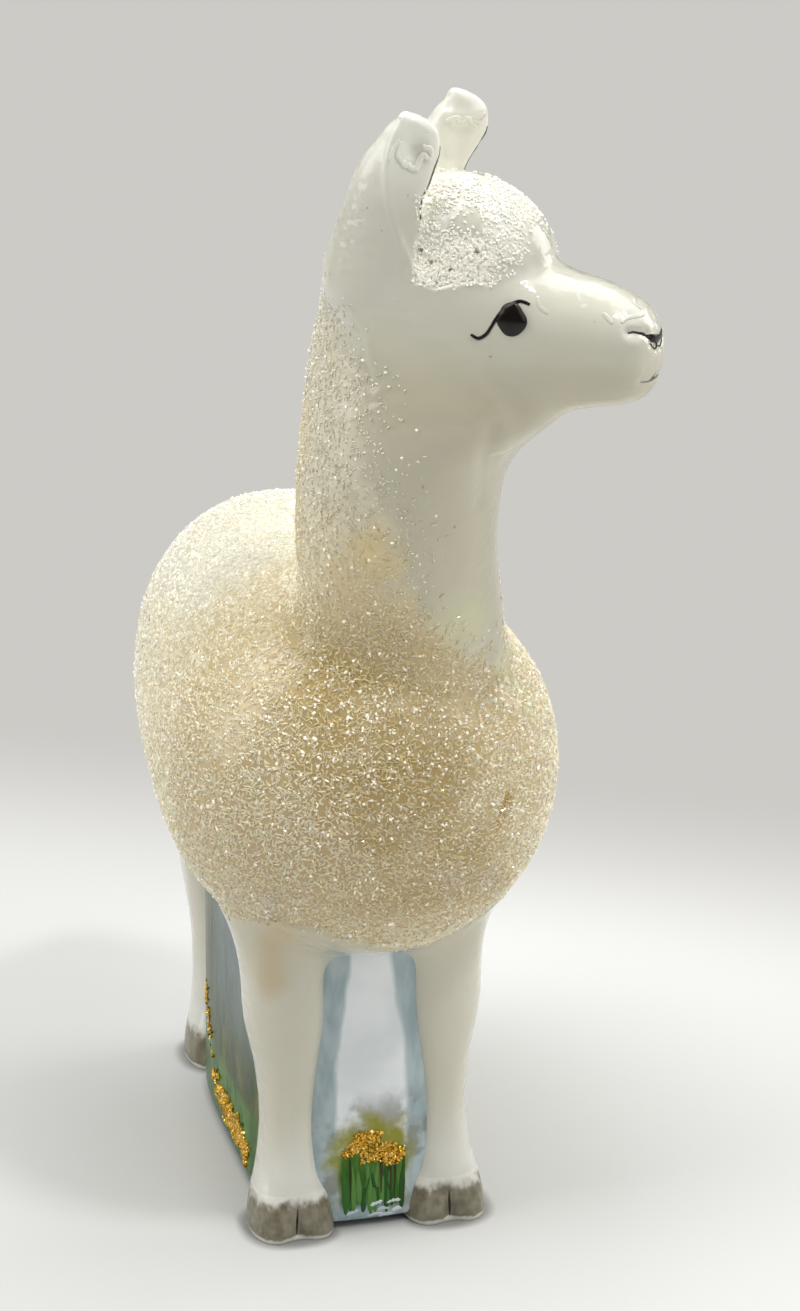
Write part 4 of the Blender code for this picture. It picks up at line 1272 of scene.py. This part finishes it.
GOLD_SPOTS = [  # clusters on the front, as sideways, height, half width, half height, tilt
    (-2.0, 8.7, 0.9, 0.5, 0.5),
    (-0.5, 9.7, 1.2, 0.7, 0.45),
    (1.0, 8.1, 1.3, 0.75, -0.1),
    (2.1, 7.7, 1.0, 0.75, -0.1),
]
GOLD_TRAILS = [  # lines of flowers on each side, as along and height, with how wide and how thick they are
    ([(5.6, 4.4), (2.7, 3.6), (-0.2, 4.3), (-2.2, 3.2), (-5.0, 4.2), (-8.3, 3.2)], 1.35, 1.0),
    ([(12.4, 12.4), (9.8, 9.4), (7.9, 7.0)], 0.8, 0.22),
    ([(15.0, 21.5), (13.9, 15.0)], 0.7, 0.2),
]
WALL_DEPTH = 1.2  # how far in from the block's sides a point still counts as on one


def gold_cover(points):
    """How thickly the gold glitter lies on the block, from 0 to 1."""
    wobble = clouds(points, 0.9, 21.0)
    cover = np.zeros(len(points))
    front = points[:, 1] < BLOCK_FRONT + WALL_DEPTH
    back = points[:, 1] > BLOCK_BACK - WALL_DEPTH
    for x, z, wide, tall, tilt in GOLD_SPOTS:
        for wall, sign in ((front, 1), (back, -1)):
            dx = points[:, 0] * sign - x
            dz = points[:, 2] - z - tilt * dx
            reach = np.sqrt((dx / wide) ** 2 + (dz / tall) ** 2)
            cover = np.maximum(cover, wall * smoothstep(1.15, 0.8, reach + 0.35 * wobble))
    heads = smoothstep(-0.35, 0.1, clouds(points, 1.7, 33.0))
    for side in (-1, 1):
        wall = (points[:, 0] - LEG_MIDDLE) * side > BLOCK_HALF_WIDTH - WALL_DEPTH
        for trail, wide, thick in GOLD_TRAILS:
            path = [(LEG_MIDDLE + side * BLOCK_HALF_WIDTH, y, z) for y, z in trail]
            gap = path_distance(points, path)
            cover = np.maximum(cover, thick * heads * wall * smoothstep(wide, wide * 0.6, gap + 0.8 * wobble))
    return cover


def gold_flowers(block, material):
    random = np.random.default_rng(GOLD_SEED)
    points = read_points(block)
    uv = np.stack([(points[:, 0] + points[:, 1] + 40) / 90, points[:, 2] / 45], 1)[read_triangles(block)]
    spots, outward, roots = sown(block, uv, gold_cover(points), GOLD_GRAINS, GOLD_SPACING, random)
    sizes = sized(random, len(spots), GOLD_SIZE, GOLD_SPREAD)
    made = grains(random, CHUNK, spots, outward, sizes, lift=0.6, tilt=0.7)
    tints = mixed(np.array(DEEP_GOLD), PALE_GOLD, random.random(len(spots)))
    tints = tints * np.where(random.random((len(spots), 1)) < SHADED_SHARE, 0.5, 1.0)
    tints = np.where(random.random((len(spots), 1)) < BRIGHT_SHARE, BRIGHT_GOLD, tints)
    grain_piece("gold_flowers", "meadow_paint", material, CHUNK, made, tints, roots)


# --- Stage, light and camera ---

FLOOR_TURN, FLOOR_HALF = math.radians(-31), 4.0
FLOOR_FADE = (0.046, 0.114)
# A painted pool of light on the floor by the animal's left side: its middle and reach.
FLOOR_LIT, FLOOR_LIT_REACH = (30.0, -10.0), (60.0, 95.0)
FLOOR_NEAR, FLOOR_FAR = (0.655, 0.655, 0.64), (0.61, 0.595, 0.565)
# The colour of the contact shadows painted under the feet and the block.
CONTACT_SHADE = (0.05, 0.045, 0.035)


def floor():
    """A white sheet that glows an even grey, whatever the light, away behind the animal, with a painted pool
    of light beside the animal and painted contact shadows under its feet and block.
    """
    nodes = Nodes("floor")
    across, deep = [nodes.output("ShaderNodeSeparateXYZ", name, [(0, nodes.object_place)]) for name in "XY"]
    away = nodes.ramp(across * -math.sin(FLOOR_TURN) + deep * math.cos(FLOOR_TURN), *FLOOR_FADE)
    place_on_floor = nodes.axis("X"), nodes.axis("Y")

    def reach(centre, radii, power):
        """A value that is 1 round an ellipse on the floor, or round a boxier outline for a power above 2."""
        wide, tall = [(abs(at - middle) * (1 / radius)) ** power
                      for at, middle, radius in zip(place_on_floor, centre, radii)]
        return wide + tall

    # Painted light: a brighter pool on the floor by the animal's left side.
    painted_light_pool = nodes.ramp(reach(FLOOR_LIT, FLOOR_LIT_REACH, 2.0), 1.0, 0.0)
    near = nodes.mix(painted_light_pool, rgba(FLOOR_NEAR), rgba(FLOOR_NEAR, 1.1))
    # Painted shadow: darker right round the block and under each foot.
    dark = nodes.ramp(reach((LEG_MIDDLE, BLOCK_MIDDLE), (9.6, 20.5), 4.0), 1.5, 0.8)
    for _, _, foot_x, foot_y in FEET:
        dark = nodes.larger(dark, nodes.ramp(reach((foot_x, foot_y - 1.2), (4.5, 4.7), 2.4), 1.75, 0.8))
    near = nodes.mix(dark * 0.6, near, rgba(CONTACT_SHADE))
    color, glow = nodes.mix(away, near, rgba((0, 0, 0))), nodes.mix(away, rgba((0, 0, 0)), rgba(FLOOR_FAR))
    material = nodes.finish(color, roughness=0.8, specular_ior_level=0.0, emission_color=glow,
                            emission_strength=1.0)
    mesh = bpy.data.meshes.new("floor")
    corners = [(-1, -1), (1, -1), (1, 1), (-1, 1)]
    mesh.from_pydata([(x * FLOOR_HALF, y * FLOOR_HALF, 0) for x, y in corners], [], [(0, 1, 2, 3)])
    new_object("floor", mesh, material)


CAMERA_TURN, CAMERA_RISE = math.radians(-15), math.radians(19)
CAMERA_DISTANCE = 0.33
CAMERA_TARGET = (np.array([2.8, -22.0, 60.5]) - BOX_CENTRE) * MM
FOCAL_PIXELS, FRAME_PIXELS, SENSOR = 3470, 1311, 36.0


def aimed(name, data, target, outward, distance):
    """A light or camera that looks at a target from a direction."""
    made = new_object(name, data)
    made.location = Vector(target) + outward * distance
    made.rotation_euler = (-outward).to_track_quat("-Z", "Y").to_euler()
    return made


def camera():
    data = bpy.data.cameras.new("camera")
    data.sensor_width = SENSOR
    data.lens = FOCAL_PIXELS * SENSOR / FRAME_PIXELS
    data.clip_start = 0.01
    level = math.cos(CAMERA_RISE)
    back = Vector((math.sin(CAMERA_TURN) * level, -math.cos(CAMERA_TURN) * level, math.sin(CAMERA_RISE)))
    bpy.context.scene.camera = aimed("camera", data, CAMERA_TARGET, back, CAMERA_DISTANCE)


LIGHTS = [  # name, direction from the animal, distance, size, watts
    ("overhead", (0.25, 0.30, 1.0), 0.62, (0.60, 0.45), 2.0),
    ("top_left", (-0.5, 0.1, 1.0), 0.62, (0.50, 0.50), 2.8),
    ("left_wall", (-1.0, 0.05, 0.35), 0.60, (0.30, 0.40), 0.8),
    ("right_wall", (1.0, 0.15, 0.45), 0.60, (0.30, 0.40), 1.1),
    ("front_right", (0.6, -0.8, 0.6), 0.60, (0.50, 0.50), 1.05),
    ("lamp", (0.27, -0.38, 0.88), 0.60, (0.08, 0.045), 0.9),
]
LIGHT_TARGET = (0, 0, 0.06)
WORLD = 0.06


def lights():
    world = bpy.data.worlds.new("world")
    world.use_nodes = True
    world.node_tree.nodes["Background"].inputs["Color"].default_value = (1, 0.99, 0.96, 1)
    world.node_tree.nodes["Background"].inputs["Strength"].default_value = WORLD
    bpy.context.scene.world = world
    for name, direction, distance, size, power in LIGHTS:
        data = bpy.data.lights.new(name, "AREA")
        data.shape = "RECTANGLE"
        data.size, data.size_y = size
        data.energy = power
        aimed(name, data, LIGHT_TARGET, Vector(direction).normalized(), distance)
    bpy.context.scene.view_settings.view_transform = "Standard"


def main():
    enamel = enamel_material()
    black = line_material("eye_black", (0.008, 0.005, 0.004), 0.2)
    grey = line_material("faint_line", (0.11, 0.105, 0.08), 0.3)
    skin = glass_skin()
    flesh = [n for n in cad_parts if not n.startswith(("eye", "hoof", "meadow"))]
    new_piece(skin, enamel, "white_enamel", *flesh)
    tree = surface_tree(skin)
    hooves(skin, hoof_material())
    for side in (-1, 1):
        eye(tree, side, black)
    face_lines(tree, black, grey)
    drips(tree, enamel)
    block = meadow_block(meadow_material())
    brush_strokes(surface_tree(block), stroke_material())
    gold_flowers(block, gold_material())
    uv = unwrapped(skin)
    # The glints and the topknot's crystals glow a little: painted light.
    fleece_coat(skin, uv, coat_material("sugared_fleece", 0.0), coat_material("fleece_glints", 0.22))
    knot_crystals(skin, uv, coat_material("topknot_crystals", 0.085))
    floor()
    lights()
    camera()


main()
